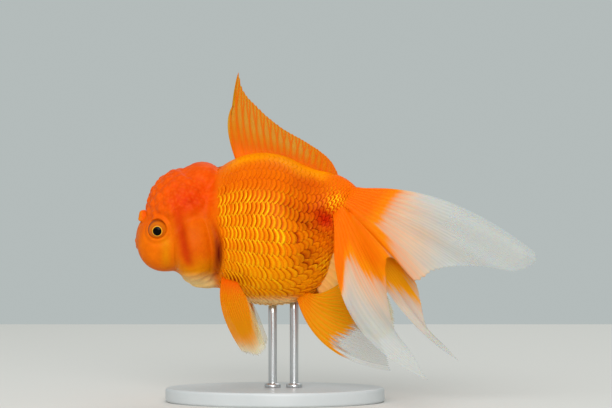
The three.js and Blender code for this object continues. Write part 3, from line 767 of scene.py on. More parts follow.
def scale_coat(side):
    """Every scale of one flank as points, faces, maps, tones and a random strength for its gold and
    painted sheen, from one plate.

    The plate is a grid laid over the lattice: a counts rows across it from its middle, and s counts
    columns forward of its rear edge. That edge bulges by roundness times a squared, and the plate
    rises from under the skin to it. Scales that would start on the head are left out.
    """
    across = np.linspace(-1, 1, plate_across) * scale_half_height
    ahead = np.array(plate_steps) * scale_length
    columns = np.arange(-spare_columns, column_count + spare_columns + 1)
    row, column = np.meshgrid(np.arange(row_count), columns, indexing="ij")
    middle = column + 0.5 * (row % 2)
    shown = (middle + row_slant(row) > 0.6) & (middle + row_slant(row) < column_count - 0.3)
    lattice = flank_lattice(side)
    for a in (-0.5, 0, 0.5):
        rear = middle + row_slant(row + a) - scale_roundness * a * a
        tips = read_lattice(lattice, first_row + (row + a) * row_step, rear)
        clear_of_gill = gill_reach(tips[..., 0], tips[..., 2])[0] > gill_clearance
        shown &= clear_of_gill & (tips[..., 0] > first_scale_x)
    row, middle = row[shown][:, None, None], middle[shown][:, None, None]
    count = len(row)
    chance = np.random.default_rng(11 + side)
    home = read_lattice(lattice, first_row + row * row_step, middle + row_slant(row))
    rumple = bell(home[..., 0] - 17, 8) * bell(home[..., 2] - 66, 13) * smooth_step(0, -4, home[..., 1])
    middle = middle + rumple * chance.uniform(-0.25, 0.25, middle.shape)
    a, s = across[None, :, None], ahead[None, None, :]
    share = first_row + (row + a) * row_step + 0 * s
    place = middle + row_slant(row + a) - scale_roundness * a * a - s
    normals = grid_normals(lattice, False) * -side
    base = read_lattice(lattice, share, place)
    out = read_lattice(normals, share, place)
    tuck = 1 - smooth_step(0.42, 0.78, np.abs(a))
    calm = 0.15 + 0.85 * smooth_step(0, 4.5, row)
    calm = calm * chance.uniform(0.85, 1.15, row.shape) + rumple * chance.uniform(-0.5, 0.9, row.shape)
    lift = coat_depth * (0.95 * calm * (1.2 * tuck - 0.2) - s * 1.05)
    lift -= 0.12 * coat_depth * bell(s, 0.12)
    root_x, root_z = base[..., 0], base[..., 2]
    slit = gill_reach(root_x, root_z)[0]
    emerging = np.minimum(smooth_step(1.20, 1.42, slit), smooth_step(-25, -21.5, root_x))
    tucked_in = smooth_step(1.27, 1.15, slit) * smooth_step(78, 72, root_z)
    lift = np.minimum(lift, 2 * emerging - 0.3 - 1.9 * tucked_in)
    top = base + out * lift[..., None]
    low_lift = lift[:, :, [0, -1]] - np.array([0.2, 0.04])
    under = base[:, :, [0, -1]] + out[:, :, [0, -1]] * low_lift[..., None]
    points = np.concatenate([top.reshape(count, -1, 3), under.reshape(count, -1, 3)], axis=1)
    stamp_map = np.concatenate([
        np.stack(np.broadcast_arrays(a[0], s[0]), -1).reshape(-1, 2),
        np.stack(np.broadcast_arrays(a[0], s[0][:, [0, -1]]), -1).reshape(-1, 2),
    ])
    faces = plate_faces(count, side)
    # Each scale bakes from a patch about 0.003 across, at its root's place on the flank's unwrap.
    mid = plate_across // 2
    rooted = 0.02 + 0.96 * np.stack([place[:, mid, -1] / column_count, share[:, mid, -1]], -1)
    bake = rooted[:, None, :] + (stamp_map * [0.0015, 0.0022])[None]
    uvs = {
        "OFBake": [bake.reshape(-1, 2)[block].reshape(-1, 2) for block in faces],
        "Scale": [np.tile(stamp_map, (count, 1))[block].reshape(-1, 2) for block in faces],
    }
    each = points.mean(axis=1)
    uneven = 0.10 + 0.16 * bell(each[:, 0] - 18, 9) * bell(each[:, 2] - 68, 16)
    tones = (1 - uneven * chance.uniform(0, 1, count))[:, None] ** [0.6, 1.2, 1.0]
    luck = chance.uniform(0.65, 1.2, count) + rumple.ravel() * chance.uniform(-0.6, 0.6, count)
    tones, luck = [np.repeat(values, points.shape[1], axis=0) for values in (tones, luck)]
    return points.reshape(-1, 3), faces, uvs, tones, luck


def gold_and_sheen(points):
    """Share of gold in the scales, partly their own and partly a painted sheen: most on the front of
    the flank, none along the back.

    Bright patches of painted glint lie amid the flank, low at its rear and on the stalk, and the
    left flank's hollow, which has painted shade, has none.
    """
    x, y, z = np.moveaxis(points, -1, 0)
    sheen_gold = np.maximum.reduce([
        0.92 * smooth_step(93, 85, z) * smooth_step(30, -8, x),
        0.55 * smooth_step(84, 72, z) * (1 - 0.3 * smooth_step(8, 20, x)),
        1.4 * bell(x - 29.5, 4.2) * bell(z - 83.5, 6.5),
        1.2 * bell(x - 4, 9) * bell(z - 69.5, 6),
        1.6 * bell(x - 26, 4.5) * bell(z - 56, 5),
    ])
    sheen_gold *= 1 - 0.8 * smooth_step(45, 42.4, z)
    hollow = np.hypot(x - shaded_hollow_x, z - shaded_hollow_z)
    sheen_gold *= 1 - 0.95 * smooth_step(0, -4, y) * bell(hollow, 5)
    return sheen_gold * smooth_step(1.18, 1.7, gill_reach(x, z)[0] + smooth_step(4, 8, x + 24))


def shading(points):
    """How dark the roots of the scales are: full on the flank, little on the back and belly."""
    x, y, z = np.moveaxis(points, -1, 0)
    clear_of_head = smooth_step(-24.5, -20, x) * smooth_step(1.15, 1.45, gill_reach(x, z)[0])
    rear = bell(x - 19, 9) * bell(z - 79, 8) * smooth_step(0, -4, y)
    flank = 0.03 + 0.32 * smooth_step(101, 96, z) + 0.45 * smooth_step(94, 82, z) + 0.25 * rear
    flank *= 1 - 0.5 * bell(x - 27, 6) * bell(z - 68, 6)
    return flank * (1 - 0.95 * smooth_step(46, 42.6, z)) * clear_of_head


def calculate(nodes, links, operation, *values):
    """A Math node; each value is a socket or a number."""
    node = add_node(nodes, "ShaderNodeMath", operation=operation)
    for socket, value in zip(node.inputs, values):
        feed(links, socket, value)
    return node.outputs[0]


scaly, nodes, links, shader = new_material("gold_scales_with_painted_sheen")
gold_and_sheen_level = attribute(nodes, "GoldAndSheen")
plate_map = add_node(nodes, "ShaderNodeUVMap", uv_map="Scale")
split = nodes.new("ShaderNodeSeparateXYZ")
links.new(plate_map.outputs["UV"], split.inputs[0])
off_middle = calculate(nodes, links, "ABSOLUTE", split.outputs["X"])
forward = split.outputs["Y"]
# How far, in columns, a spot lies behind the plates that overlap it: the next one in its own row
# starts one column ahead, and those of the rows beside it half a column, along their round edges.
straight_gap = calculate(nodes, links, "SUBTRACT", 1.0, forward)
side_gap = calculate(nodes, links, "SUBTRACT", 0.5 + scale_roundness, forward)
side_gap = calculate(nodes, links, "MULTIPLY_ADD", off_middle, -2 * scale_roundness, side_gap)
bared = calculate(nodes, links, "MINIMUM", straight_gap, side_gap)
shadow = ramp(nodes, links, bared, [
    (0.0, (0.40, 0.12, 0.04)),
    (0.15, (0.72, 0.42, 0.30)),
    (0.45, (1, 1, 1)),
])
freckle = object_noise(nodes, links, scale=2200.0, detail=2.0)
mottle = object_noise(nodes, links, scale=220.0, detail=4.0)
# Painted sheen: the gold is laid into the colour, most at each scale's rear edge and in patches, partly
# the scales' own gold and partly light glinting on them.
edge_share = ramp(nodes, links, forward, [(0.0, (1, 1, 1)), (0.3, (0.85,) * 3), (0.62, (0.0,) * 3)])
sheen_gold_share = calculate(nodes, links, "MULTIPLY", edge_share, gold_and_sheen_level)
patchy = ramp(nodes, links, mottle, [(0.35, (0.45,) * 3), (0.6, (1, 1, 1))])
sheen_gold_share = calculate(nodes, links, "MULTIPLY", sheen_gold_share, patchy)
marking = attribute(nodes, "Marking", "Color")
body = blend_colours(nodes, links, attribute(nodes, "Shade"), marking, shadow, "MULTIPLY")
sheen_gold = ramp(nodes, links, gold_and_sheen_level, [(0.35, (0.95, 0.34, 0.003)), (0.95, (1.0, 0.52, 0.004))])
body = blend_colours(nodes, links, sheen_gold_share, body, sheen_gold)
speck = ramp(nodes, links, freckle, [(0.35, (0.86, 0.80, 0.75)), (0.6, (1, 1, 1))])
body = blend_colours(nodes, links, 1.0, body, speck, "MULTIPLY")
body = blend_colours(nodes, links, 1.0, body, attribute(nodes, "Tone", "Color"), "MULTIPLY")
links.new(body, shader.inputs["Base Color"])
metal = calculate(nodes, links, "MULTIPLY", sheen_gold_share, 0.25)
links.new(metal, shader.inputs["Metallic"])
set_inputs(shader, Roughness=0.34, Specular_IOR_Level=0.025)
add_bump(nodes, links, shader, freckle, strength=0.1, distance=0.00006)

for side, side_name in [(-1, "left"), (1, "right")]:
    points, faces, uvs, tones, luck = scale_coat(side)
    attributes = {
        "Marking": markings(points),
        "GoldAndSheen": gold_and_sheen(points) * luck,
        "Shade": shading(points),
        "Tone": tones,
    }
    scales = add_piece("scales_" + side_name, bend_fish(points), faces, uvs, attributes)
    scales.data.materials.append(scaly)
    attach(scales, "root")


# ---------------------------------------------------------------- the eyes
# Glassy round eyes without lids: a black pupil that looks a little forwards and down, a thin gold
# ring round it and an orange iris. Each is a ball set in its socket.
ball_rings, ball_around = 47, 64
pupil_bulge = 0.25


def eyeball(side):
    """A ball of rings round the pupil's axis, with the clear front of the eye bulging a little.

    Its radius is the eye's own, plus a low bell over the pupil. Its third return is each point's
    angle from the pupil's axis.
    """
    gaze = np.array([-0.10, side * 0.96, -0.14])
    gaze /= np.linalg.norm(gaze)
    aside = np.cross(gaze, [0, 0, 1])
    aside /= np.linalg.norm(aside)
    upward = np.cross(aside, gaze)
    polar = np.linspace(0, np.pi, ball_rings + 2)[1:-1]
    spin = np.linspace(0, 2 * np.pi, ball_around, endpoint=False) * side
    reach = eye_radius + pupil_bulge * bell(polar, 0.6)
    around = np.cos(spin)[:, None] * aside + np.sin(spin)[:, None] * upward
    rings = reach[:, None, None] * (
        np.cos(polar)[:, None, None] * gaze + np.sin(polar)[:, None, None] * around[None]
    )
    tips = np.array([gaze * (eye_radius + pupil_bulge), -gaze * eye_radius])
    centre = np.array([eye_at[0], side * eye_at[1], eye_at[2]])
    points = centre + np.concatenate([tips[:1], rings.reshape(-1, 3), tips[1:]])
    angle = np.concatenate([[0], np.repeat(polar, ball_around), [np.pi]])
    return points, tube_faces(ball_rings, ball_around), angle


iris, nodes, links, shader = new_material("goldfish_eye")
# The rings' places are angles from the pupil's axis, as shares of a little over a right angle.
widest_ring = 1.6
uneven = object_noise(nodes, links, scale=500.0, detail=3.0)
wobble = calculate(nodes, links, "MULTIPLY_ADD", uneven, 0.05, -0.025)
angle = calculate(nodes, links, "ADD", attribute(nodes, "Polar"), wobble)
share = calculate(nodes, links, "DIVIDE", angle, widest_ring)
eye_rings = ramp(nodes, links, share, [
    (0.0, (0.002, 0.0015, 0.001)),
    (0.250, (0.002, 0.001, 0.001)),
    (0.266, (0.84, 0.42, 0.03)),
    (0.292, (0.82, 0.32, 0.012)),
    (0.325, (0.50, 0.10, 0.003)),
    (0.48, (0.60, 0.13, 0.002)),
    (0.60, (0.52, 0.105, 0.002)),
    (0.66, (0.30, 0.05, 0.002)),
])
links.new(eye_rings, shader.inputs["Base Color"])
set_inputs(shader, Roughness=0.16, Specular_IOR_Level=0.06)
add_bump(nodes, links, shader, uneven, strength=0.05, distance=0.0001)

for side, side_name in [(-1, "left"), (1, "right")]:
    points, faces, angles = eyeball(side)
    ball = add_piece("eyeball_" + side_name, points, faces, None, {"Polar": angles})
    ball.data.materials.append(iris)
    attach(ball, "root")
    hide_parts("eye_" + side_name)


# ---------------------------------------------------------------- the dorsal fin
# A tall sail along the back. Like every fin it is a thin skin stretched between bony rays that fork
# towards the edge, and it grows from a fleshy line on the body. It is orange out to its edge.
def fin_columns(rows, place):
    """The columns of a fin's table at places along its root, by cubic pieces.

    The slope at each row is that of the line between the rows on either side of it.
    """
    rows = np.asarray(rows, float)
    at, columns = rows[:, 0], rows[:, 1:]
    index = np.arange(len(rows))
    before, after = np.maximum(index - 1, 0), np.minimum(index + 1, len(rows) - 1)
    slope = (columns[after] - columns[before]) / (at[after] - at[before])[:, None]
    i = np.clip(np.searchsorted(at, place, side="right") - 1, 0, len(rows) - 2)
    span = (at[i + 1] - at[i])[:, None]
    t = (place - at[i])[:, None] / span
    return (
        columns[i] * (1 + 2 * t) * (1 - t) ** 2 + columns[i + 1] * t * t * (3 - 2 * t)
        + span * slope[i] * t * (1 - t) ** 2 - span * slope[i + 1] * t * t * (1 - t)
    )


def forked_ray(phase, along, forks):
    """1 along the middle of each ray and 0 between rays; every fork halves a ray's branches.

    The phase counts rays across the fin. At each fork the distance to the middle is folded.
    """
    away = np.abs(phase - np.floor(phase) - 0.5)
    spacing = 0.5
    for start in forks:
        opening = smooth_step(start, start + 0.35, along)
        spacing = spacing / 2
        away = np.abs(away - spacing * opening)
    width = 0.21 / (1 + len(forks) * smooth_step(0.3, 1.0, along))
    return bell(away, width)


def fin_surface(fin, place, along):
    """The fin's middle surface: (1 - t)^2 root + 2 t (1 - t) control + t^2 tip, for each ray.

    The control point lies from the root in the direction of the ray's lean and spread, at its
    reach times the length from root to tip. The roots follow the body's bend; the tips are given
    where they end up. A fin's side is 1 on the left, as its table gives it, and -1 on the right.
    """
    tip_x, tip_y, tip_z, lean, spread, reach = fin_columns(fin["rays"], place).T
    flip = -1 if fin.get("mirror") else 1
    tip = np.stack([tip_x, flip * tip_y, tip_z], -1)
    lean, spread = np.radians(lean), np.radians(spread) * flip
    leaving = np.stack([np.cos(spread) * np.cos(lean), -np.sin(spread), np.cos(spread) * np.sin(lean)], -1)
    front, rear = np.array(fin["root"], float)
    start = front + (rear - front) * place[:, None]
    start[:, 1] *= fin["side"]
    start[:, 2] += fin.get("arch", 0) * 4 * place * (1 - place)
    start = bend_fish(start)
    control = start + leaving * (reach * np.linalg.norm(tip - start, axis=-1))[:, None]
    t = along[..., None]
    return (1 - t) ** 2 * start[:, None] + 2 * t * (1 - t) * control[:, None] + t * t * tip[:, None]


def fin_mesh(fin):
    """A closed sheet round the fin's middle surface, ribbed by its rays and frayed between them.

    Half its thickness is the membrane's plus the rib's on each ray, and the flesh's at the root.
    It is thinned at its borders. Slow sine waves sway it to and fro, more towards its edge.
    """
    first, last = fin.get("part", (0, 1))
    across, steps = fin["grid"]
    place = np.linspace(first, last, across)
    phase = place * fin["count"]
    notches = fin["count"] * 4 + 2
    each_notch = np.random.default_rng(fin["seed"]).uniform(0, 1, notches)
    fray = np.interp(phase * 4, np.arange(notches), each_notch)
    edge_ray = forked_ray(phase, np.ones(across), fin["forks"])
    end = 1 - fin["fray"] * (0.55 * (1 - edge_ray) + 0.45 * fray)
    depth = np.linspace(0, 1, steps)
    along = fin["sink"] + (end[:, None] - fin["sink"]) * depth[None] ** 0.9
    middle = fin_surface(fin, place, along)
    normal = grid_normals(middle, False)
    ray = forked_ray(phase[:, None] + 0 * along, along, fin["forks"])
    wave = np.sin(2 * np.pi * (fin["waves"] * place[:, None] + 0.25 * along + 0.1 * fin["seed"]))
    wave = wave * fin["ripple"] * smooth_step(0.15, 1.0, along)
    middle = middle + normal * wave[..., None]
    normal = grid_normals(middle, False)
    paint, clear = fin["paint"](middle, place[:, None] + 0 * along, along, ray)
    half = fin["membrane"] + fin["rib"] * ray * (1 - 0.65 * along) * np.clip(1 - 1.1 * clear, 0, 1)
    fleshy = smooth_step(-0.1, 0.04, along) * np.square(smooth_step(fin["flesh_to"], 0.0, along))
    half += fin["flesh"] * fleshy
    border = np.minimum(place - first, last - place)[:, None] * fin["count"]
    before_end = end[:, None] - along + 0.002
    half *= 0.35 + 0.65 * np.minimum(smooth_step(0, 0.25, border), smooth_step(0, 0.02, before_end))
    upper, lower = middle + normal * half[..., None], middle - normal * half[..., None]
    points = np.concatenate([upper.reshape(-1, 3), lower.reshape(-1, 3)])
    top = np.arange(across * steps).reshape(across, steps)
    low = top + across * steps
    faces = np.concatenate([
        quads(top[:-1, :-1], top[1:, :-1], top[1:, 1:], top[:-1, 1:]),
        quads(low[:-1, :-1], low[:-1, 1:], low[1:, 1:], low[1:, :-1]),
        quads(top[0, :-1], top[0, 1:], low[0, 1:], low[0, :-1]),
        quads(top[-1, 1:], top[-1, :-1], low[-1, :-1], low[-1, 1:]),
        quads(top[1:, 0], top[:-1, 0], low[:-1, 0], low[1:, 0]),
        quads(top[:-1, -1], top[1:, -1], low[1:, -1], low[:-1, -1]),
    ])
    # A negative sum of signed volumes means that the faces point inwards.
    corner = points[faces[:, :3]]
    volume = np.einsum("ij,ij->i", corner[:, 0], np.cross(corner[:, 1], corner[:, 2])).sum()
    if volume < 0:
        faces = faces[:, ::-1]
    flat_map = np.stack(np.broadcast_arrays(phase[:, None], along), -1).reshape(-1, 2)
    uvs = {"Ray": [np.concatenate([flat_map, flat_map])[faces].reshape(-1, 2)]}
    values = {
        "Paint": np.tile(paint.reshape(-1, 3), (2, 1)),
        "Clear": np.tile(clear.ravel(), 2),
        "Rib": np.tile(ray.ravel(), 2),
    }
    return points, [faces], uvs, values


def fin_material(name):
    """Thin coloured skin: paint and clearness from the fin, with fine joints along its rays."""
    joint_scale = 420.0
    material, nodes, links, shader = new_material(name)
    cloud = object_noise(nodes, links, scale=90.0, detail=5.0)
    ray_map = add_node(nodes, "ShaderNodeUVMap", uv_map="Ray")
    stretch = add_node(nodes, "ShaderNodeMapping", Scale=(9.0, 1.3, 1.0))
    fibre = add_node(nodes, "ShaderNodeTexNoise", Scale=3.0, Detail=3.0)
    links.new(ray_map.outputs["UV"], stretch.inputs["Vector"])
    links.new(stretch.outputs["Vector"], fibre.inputs["Vector"])
    split = nodes.new("ShaderNodeSeparateXYZ")
    links.new(ray_map.outputs["UV"], split.inputs[0])
    joints = calculate(nodes, links, "MULTIPLY", split.outputs["Y"], joint_scale)
    joints = calculate(nodes, links, "SINE", joints)
    joints = calculate(nodes, links, "MULTIPLY", joints, attribute(nodes, "Rib"))
    streaks = ramp(nodes, links, fibre.outputs["Fac"], [(0.3, (0.94, 0.90, 0.87)), (0.65, (1, 1, 1))])
    body = blend_colours(nodes, links, 1.0, attribute(nodes, "Paint", "Color"), streaks, "MULTIPLY")
    links.new(body, shader.inputs["Base Color"])
    thin = calculate(nodes, links, "MULTIPLY_ADD", cloud, 0.16, 0.92)
    thin = calculate(nodes, links, "MULTIPLY", attribute(nodes, "Clear"), thin)
    solid = calculate(nodes, links, "SUBTRACT", 1.0, thin)
    links.new(solid, shader.inputs["Alpha"])
    set_inputs(shader, Roughness=0.5, Specular_IOR_Level=0.05, Subsurface_Weight=0.35)
    set_inputs(shader, Subsurface_Scale=0.5, Subsurface_Radius=(0.004, 0.0015, 0.0006))
    add_bump(nodes, links, shader, joints, strength=0.12, distance=0.00005)
    return material


fin_orange, fin_white, fin_cream = colour(236, 106, 0), colour(196, 198, 195), colour(216, 194, 138)


def paint_orange_fin(main, at_root, between_rays, at_tip, orange_to, fade, gap_clear, gap_end=2):
    """Paint for a fin that is orange as far along its rays as a table says, then clear.

    orange_to gives (place along the root, share of the ray) pairs, and fade is half the width of
    the change. The skin between the rays has its own colour and is a little clear, back to gap_end.
    """
    limit_at, limit_to = np.array(orange_to, float).T

    def paint(points, place, along, ray):
        limit = np.interp(place, limit_at, limit_to) + 0.06 * (ray - 0.5) + 0.02 * np.sin(70 * place)
        beyond = smooth_step(limit - fade, limit + fade, along)
        between = (1 - ray) * smooth_step(0.10, 0.62, along) * smooth_step(gap_end, gap_end * 0.6, place)
        colours = tint(np.zeros(points.shape) + main, between_rays, 0.9 * between)
        colours = tint(colours, at_root, smooth_step(0.22, 0.0, along))
        colours = tint(colours, at_tip, beyond)
        clear = np.maximum(gap_clear * between, beyond * (0.82 - 0.08 * ray))
        return colours, clear

    return paint


def add_fin(fin, finish):
    """Makes one fin from its sizes, in its finish and in place of its CAD node."""
    points, faces, uvs, values = fin_mesh(fin)
    membrane = add_piece(fin["name"], points, faces, uvs, values)
    membrane.data.materials.append(finish)
    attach(membrane, "root")
    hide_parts(fin["replaces"])


# A ray is its place along the root, its tip's x, y and z, its lean and spread in degrees where it
# leaves the root, and its reach.
dorsal_rays = [
    [0.0, -18.1, 0, 124.0, 112, 0, 0.72],
    [0.025, -16.8, 0, 125.8, 111, 0, 0.68],
    [0.06, -15.5, 0, 138.2, 108, 0, 0.58],
    [0.12, -14.1, 0.3, 132.8, 108, 0, 0.5],
    [0.19, -11.4, 0.5, 128.2, 106, 1, 0.5],
    [0.26, -8.0, 0.8, 124.6, 104, 1, 0.5],
    [0.33, -4.2, 1.0, 120.8, 101, 1, 0.5],
    [0.41, 0.0, 1.1, 117.2, 97, 2, 0.5],
    [0.5, 5.0, 1.0, 113.8, 91, 2, 0.5],
    [0.6, 10.4, 0.2, 110.8, 84, 2, 0.5],
    [0.7, 15.2, -0.8, 107.8, 76, 1, 0.5],
    [0.8, 19.6, -2.2, 104.8, 68, 1, 0.5],
    [0.9, 23.4, -3.6, 101.0, 62, 0, 0.5],
    [1.0, 25.9, -4.8, 96.2, 60, 0, 0.5],
]
dorsal_paint = paint_orange_fin(
    colour(208, 98, 0), colour(234, 108, 0), colour(200, 134, 0), fin_white,
    orange_to=[(0, 1.1), (1, 1.1)], fade=0.06, gap_clear=0.22, gap_end=0.95,
)
orange_finish = fin_material("orange_fin_membrane")
add_fin(dict(
    name="dorsal_membrane", replaces="dorsal_fin", slot="orange_fin",
    root=[(-16.2, 0, 100.6), (27, 0, 89.5)], arch=5.5, side=1,
    rays=dorsal_rays, count=18, forks=[0.55], grid=(260, 56), sink=-0.10,
    waves=2.5, ripple=0.35, seed=1, fray=0.03,
    membrane=0.07, rib=0.26, flesh=1.2, flesh_to=0.3, paint=dorsal_paint,
), orange_finish)


# ---------------------------------------------------------------- the pectoral fins
# Narrow paddles that hang out and down behind the gill covers, orange, with a pale clear strip down
# the rear and across the tip. Each grows from a short line low on the shoulder.
pectoral_rays = [
    [0.0, -12.8, -27, 22.2, -104, 44, 0.5],
    [0.33, -8.2, -28, 20.8, -94, 40, 0.46],
    [0.66, -4.7, -27.5, 21.2, -78, 36, 0.4],
    [1.0, -3.0, -26, 23.6, -53, 30, 0.35],
]
pectoral_paint = paint_orange_fin(
    colour(214, 114, 0), colour(222, 96, 0), colour(208, 140, 6), fin_cream,
    orange_to=[(0, 0.9), (0.5, 0.88), (0.72, 0.84), (0.86, 0.66), (1, 0.38)], fade=0.13, gap_clear=0.25,
)
for side, side_name in [(1, "left"), (-1, "right")]:
    add_fin(dict(
        name="pectoral_" + side_name, replaces="pectoral_fin_" + side_name, slot="orange_fin",
        root=[(-22, -12.5, 51.5), (-15, -14.5, 50)], side=side, mirror=side < 0,
        rays=pectoral_rays, count=14, forks=[0.3, 0.65], grid=(240, 48), sink=-0.08,
        waves=1.5, ripple=0.5, seed=2, fray=0.06,
        membrane=0.07, rib=0.22, flesh=1.6, flesh_to=0.3, paint=pectoral_paint,
    ), orange_finish)


# ---------------------------------------------------------------- the pelvic fins
# Broad fans swept back under the belly. The orange runs far along the rays next to the tail, and the
# front ones end in a clear tip.
pelvic_rays = [
    [0.0, 48.4, -13, 13.8, -73.5, 14, 0.55],
    [0.25, 46.0, -14, 21.8, -66, 14, 0.5],
    [0.5, 40.6, -15, 30.6, -53, 12, 0.45],
    [0.75, 34.6, -15, 40.4, -38, 12, 0.4],
    [1.0, 27.0, -12.5, 50.2, -20, 10, 0.35],
]
pelvic_paint = paint_orange_fin(
    colour(222, 130, 3), colour(226, 128, 2), colour(226, 156, 16), fin_white,
    orange_to=[(0, 0.64), (0.1, 0.52), (0.25, 0.55), (0.45, 0.74), (0.7, 0.96), (1, 1)],
    fade=0.06, gap_clear=0.2,
)
for side, side_name in [(1, "left"), (-1, "right")]:
    add_fin(dict(
        name="pelvic_" + side_name, replaces="pelvic_fin_" + side_name, slot="orange_fin",
        root=[(10.5, -6.5, 42.5), (16.5, -6.5, 46)], side=side, mirror=side < 0,
        rays=pelvic_rays, count=9, forks=[0.25, 0.5], grid=(220, 56), sink=-0.06,
        waves=1.5, ripple=0.5, seed=3, fray=0.02,
        membrane=0.06, rib=0.22, flesh=1.2, flesh_to=0.25, paint=pelvic_paint,
    ), orange_finish)


# ---------------------------------------------------------------- the anal fins
# A pair of small pale peach fans behind the belly, side by side, mostly hidden between the pelvic
# fins and the tail. They fade to cream.
anal_rays = [
    [0.0, 44.0, -12, 26.0, -60, 12, 0.45],
    [0.35, 50.0, -15.5, 31.0, -50, 17, 0.4],
    [0.7, 48.0, -17, 43.0, -40, 20, 0.4],
    [1.0, 39.0, -13, 56.0, -30, 18, 0.35],
]
anal_tips_apart = 10
anal_paint = paint_orange_fin(
    colour(246, 184, 96), colour(246, 180, 96), colour(250, 222, 176), fin_cream,
    orange_to=[(0, 0.75), (0.4, 0.5), (1, 0.3)], fade=0.14, gap_clear=0.3,
)
for side, side_name in [(1, "left"), (-1, "right")]:
    apart = 0 if side > 0 else anal_tips_apart
    add_fin(dict(
        name="anal_" + side_name, replaces="anal_fin_" + side_name, slot="orange_fin",
        root=[(17.5, -1.6, 48.5), (28.5, -2.6, 65)], side=side,
        rays=[[place, x, y + apart, *rest] for place, x, y, *rest in anal_rays],
        count=8, forks=[0.25, 0.55], grid=(180, 44), sink=-0.06,
        waves=1, ripple=0.4, seed=4, fray=0.05,
        membrane=0.06, rib=0.2, flesh=1.0, flesh_to=0.3, paint=anal_paint,
    ), orange_finish)


# ---------------------------------------------------------------- the tail
# A twin tail: two halves side by side on the stalk, each with a long upper and a lower lobe that
# share a few rays. They are orange at the root, then rosy or white, and clear at their ends.
def paint_tail(edge, seam, low, pale, amber_above):
    """Paint for a tail lobe: orange to a streaky edge, pale beyond it, then white and clear.

    The orange ends behind edge, which gives (z, x) pairs, and below seam, which gives (x, z) pairs.
    It turns to the colour called low on the lower part of the lobe, and to amber near its edge.
    """
    edge_z, edge_x = np.array(edge, float).T
    seam_x, seam_z = np.array(seam, float).T

    def paint(points, place, along, ray):
        x, _, z = np.moveaxis(points, -1, 0)
        uneven = (0.9 * np.sin(61 * place) + 0.7 * np.sin(149 * place)) * smooth_step(84, 72, z)
        streak = 0.5 * (ray - 0.5) + uneven
        behind = x - np.interp(z, edge_z, edge_x) - streak
        below = np.interp(x, seam_x, seam_z) - z - streak
        past = np.maximum(behind, below)
        painted = smooth_step(2.4, -2.4, past)
        fade = 20 - 8 * smooth_step(80, 88, z) + 12 * bell(z - 72, 8)
        colours = tint(np.zeros(points.shape) + pale, fin_white, smooth_step(1, fade, past))
        warmth = (0.16 * ray + 0.22 * smooth_step(9, 0, past)) * smooth_step(fade, 2, past)
        colours = tint(colours, fin_orange, warmth)
        main = tint(np.zeros(points.shape) + fin_orange, low, smooth_step(67, 54, z))
        amber = 0.6 * smooth_step(-9, -1, past) * (z > amber_above)
        main = tint(main, colour(240, 140, 0), amber)
        colours = tint(colours, main, painted)
        clear = (1 - painted) * (0.26 + 0.58 * smooth_step(2, 36, past) - 0.07 * ray)
        return colours, clear

    return paint


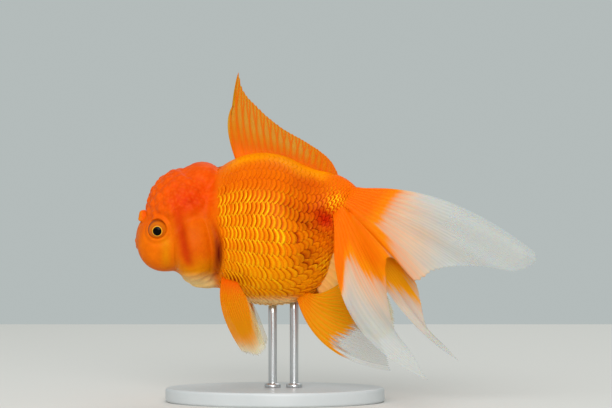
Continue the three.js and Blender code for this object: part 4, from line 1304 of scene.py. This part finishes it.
tail_rays = {
    "left": [
        [0.0, 107.4, -28, 62.6, 7, 26, 0.5],
        [0.1, 107.2, -28, 59.0, -3, 27, 0.5],
        [0.2, 100.2, -27, 55.0, -9, 28, 0.48],
        [0.3, 90.6, -26, 56.4, -15, 29, 0.46],
        [0.38, 80.4, -25, 57.2, -21, 30, 0.44],
        [0.45, 71.8, -24, 56.8, -27, 32, 0.42],
        [0.5, 65.0, -23, 55.0, -32, 33, 0.4],
        [0.55, 57.4, -22, 51.4, -40, 34, 0.38],
        [0.59, 47.5, -19, 61.0, -46.5, 35, 0.36],
        [0.63, 46.2, -24, 49.4, -58, 37, 0.42],
        [0.69, 46.4, -29, 41.0, -66, 38, 0.48],
        [0.76, 49.2, -34, 33.0, -74, 39, 0.54],
        [0.83, 53.6, -38, 25.6, -81, 40, 0.6],
        [0.9, 57.4, -41, 19.6, -87, 41, 0.66],
        [0.96, 60.6, -43.5, 15.4, -93, 41, 0.72],
        [1.0, 63.2, -45, 12.2, -99, 41, 0.76],
    ],
    "right": [
        [0.0, 105.6, -9, 62.8, 6, -24, 0.5],
        [0.1, 105.4, -8, 59.6, -3, -22, 0.5],
        [0.2, 98.8, -6, 55.8, -9, -20, 0.48],
        [0.3, 89.4, -4, 57.0, -15, -18, 0.46],
        [0.38, 79.6, -3, 57.8, -21, -16, 0.44],
        [0.45, 71.0, -2, 57.6, -27, -14, 0.42],
        [0.5, 63.6, -1, 57.0, -32, -12, 0.4],
        [0.55, 56.4, -1, 54.0, -38, -10, 0.38],
        [0.59, 49.3, -2, 59.5, -42.5, -9, 0.36],
        [0.64, 59.2, 2, 49.0, -46, -6, 0.42],
        [0.71, 61.2, 4, 42.6, -51, -4, 0.46],
        [0.78, 63.0, 5, 35.0, -55, -2, 0.5],
        [0.85, 66.8, 6, 27.4, -59, 0, 0.54],
        [0.93, 72.8, 7, 21.2, -63, 1, 0.58],
        [1.0, 78.4, 8, 16.6, -67, 2, 0.62],
    ],
}
tail_paint = {
    "left": paint_tail(
        edge=[
            (40, 58), (53, 54.5), (59, 50.5), (61.5, 49.4), (65.2, 47.8),
            (69.6, 46.6), (74.7, 43.6), (80, 46.4), (85, 49.6), (89.7, 54.0),
        ],
        seam=[
            (20, 20), (26, 30), (28.8, 57.5), (30, 60), (31.2, 61.2), (35.2, 55.8), (40.5, 52), (46.3, 51),
        ],
        low=colour(230, 104, 0), pale=colour(230, 190, 160), amber_above=0,
    ),
    "right": paint_tail(
        edge=[(30, 63), (45, 60), (60, 53.5), (75, 44), (80, 47), (90, 54)],
        seam=[(40, 50), (47, 48.5), (58, 43.5), (62, 41)],
        # The far tail is painted brighter amber on its lower part than the near tail: painted light,
        # standing in for light shining through it.
        low=colour(255, 157, 14), pale=colour(226, 214, 200), amber_above=58,
    ),
}
tail_finish = fin_material("tail_fin_membrane")
for side, side_name in [(1, "left"), (-1, "right")]:
    for lobe, part in [("upper", (0, 0.6)), ("lower", (0.58, 1))]:
        add_fin(dict(
            name=f"tail_{lobe}_{side_name}", replaces=f"tail_{lobe}_lobe_{side_name}", slot="tail_fin",
            root=[(35.2, -0.9, 89.0), (28.8, -4.6, 78)], side=side,
            rays=tail_rays[side_name], part=part, count=18, forks=[0.2, 0.5], grid=(300, 84), sink=-0.10,
            waves=5, ripple=0.6, seed=5 + side, fray=0.02,
            membrane=0.07, rib=0.11, flesh=2.6, flesh_to=0.32, paint=tail_paint[side_name],
        ), tail_finish)
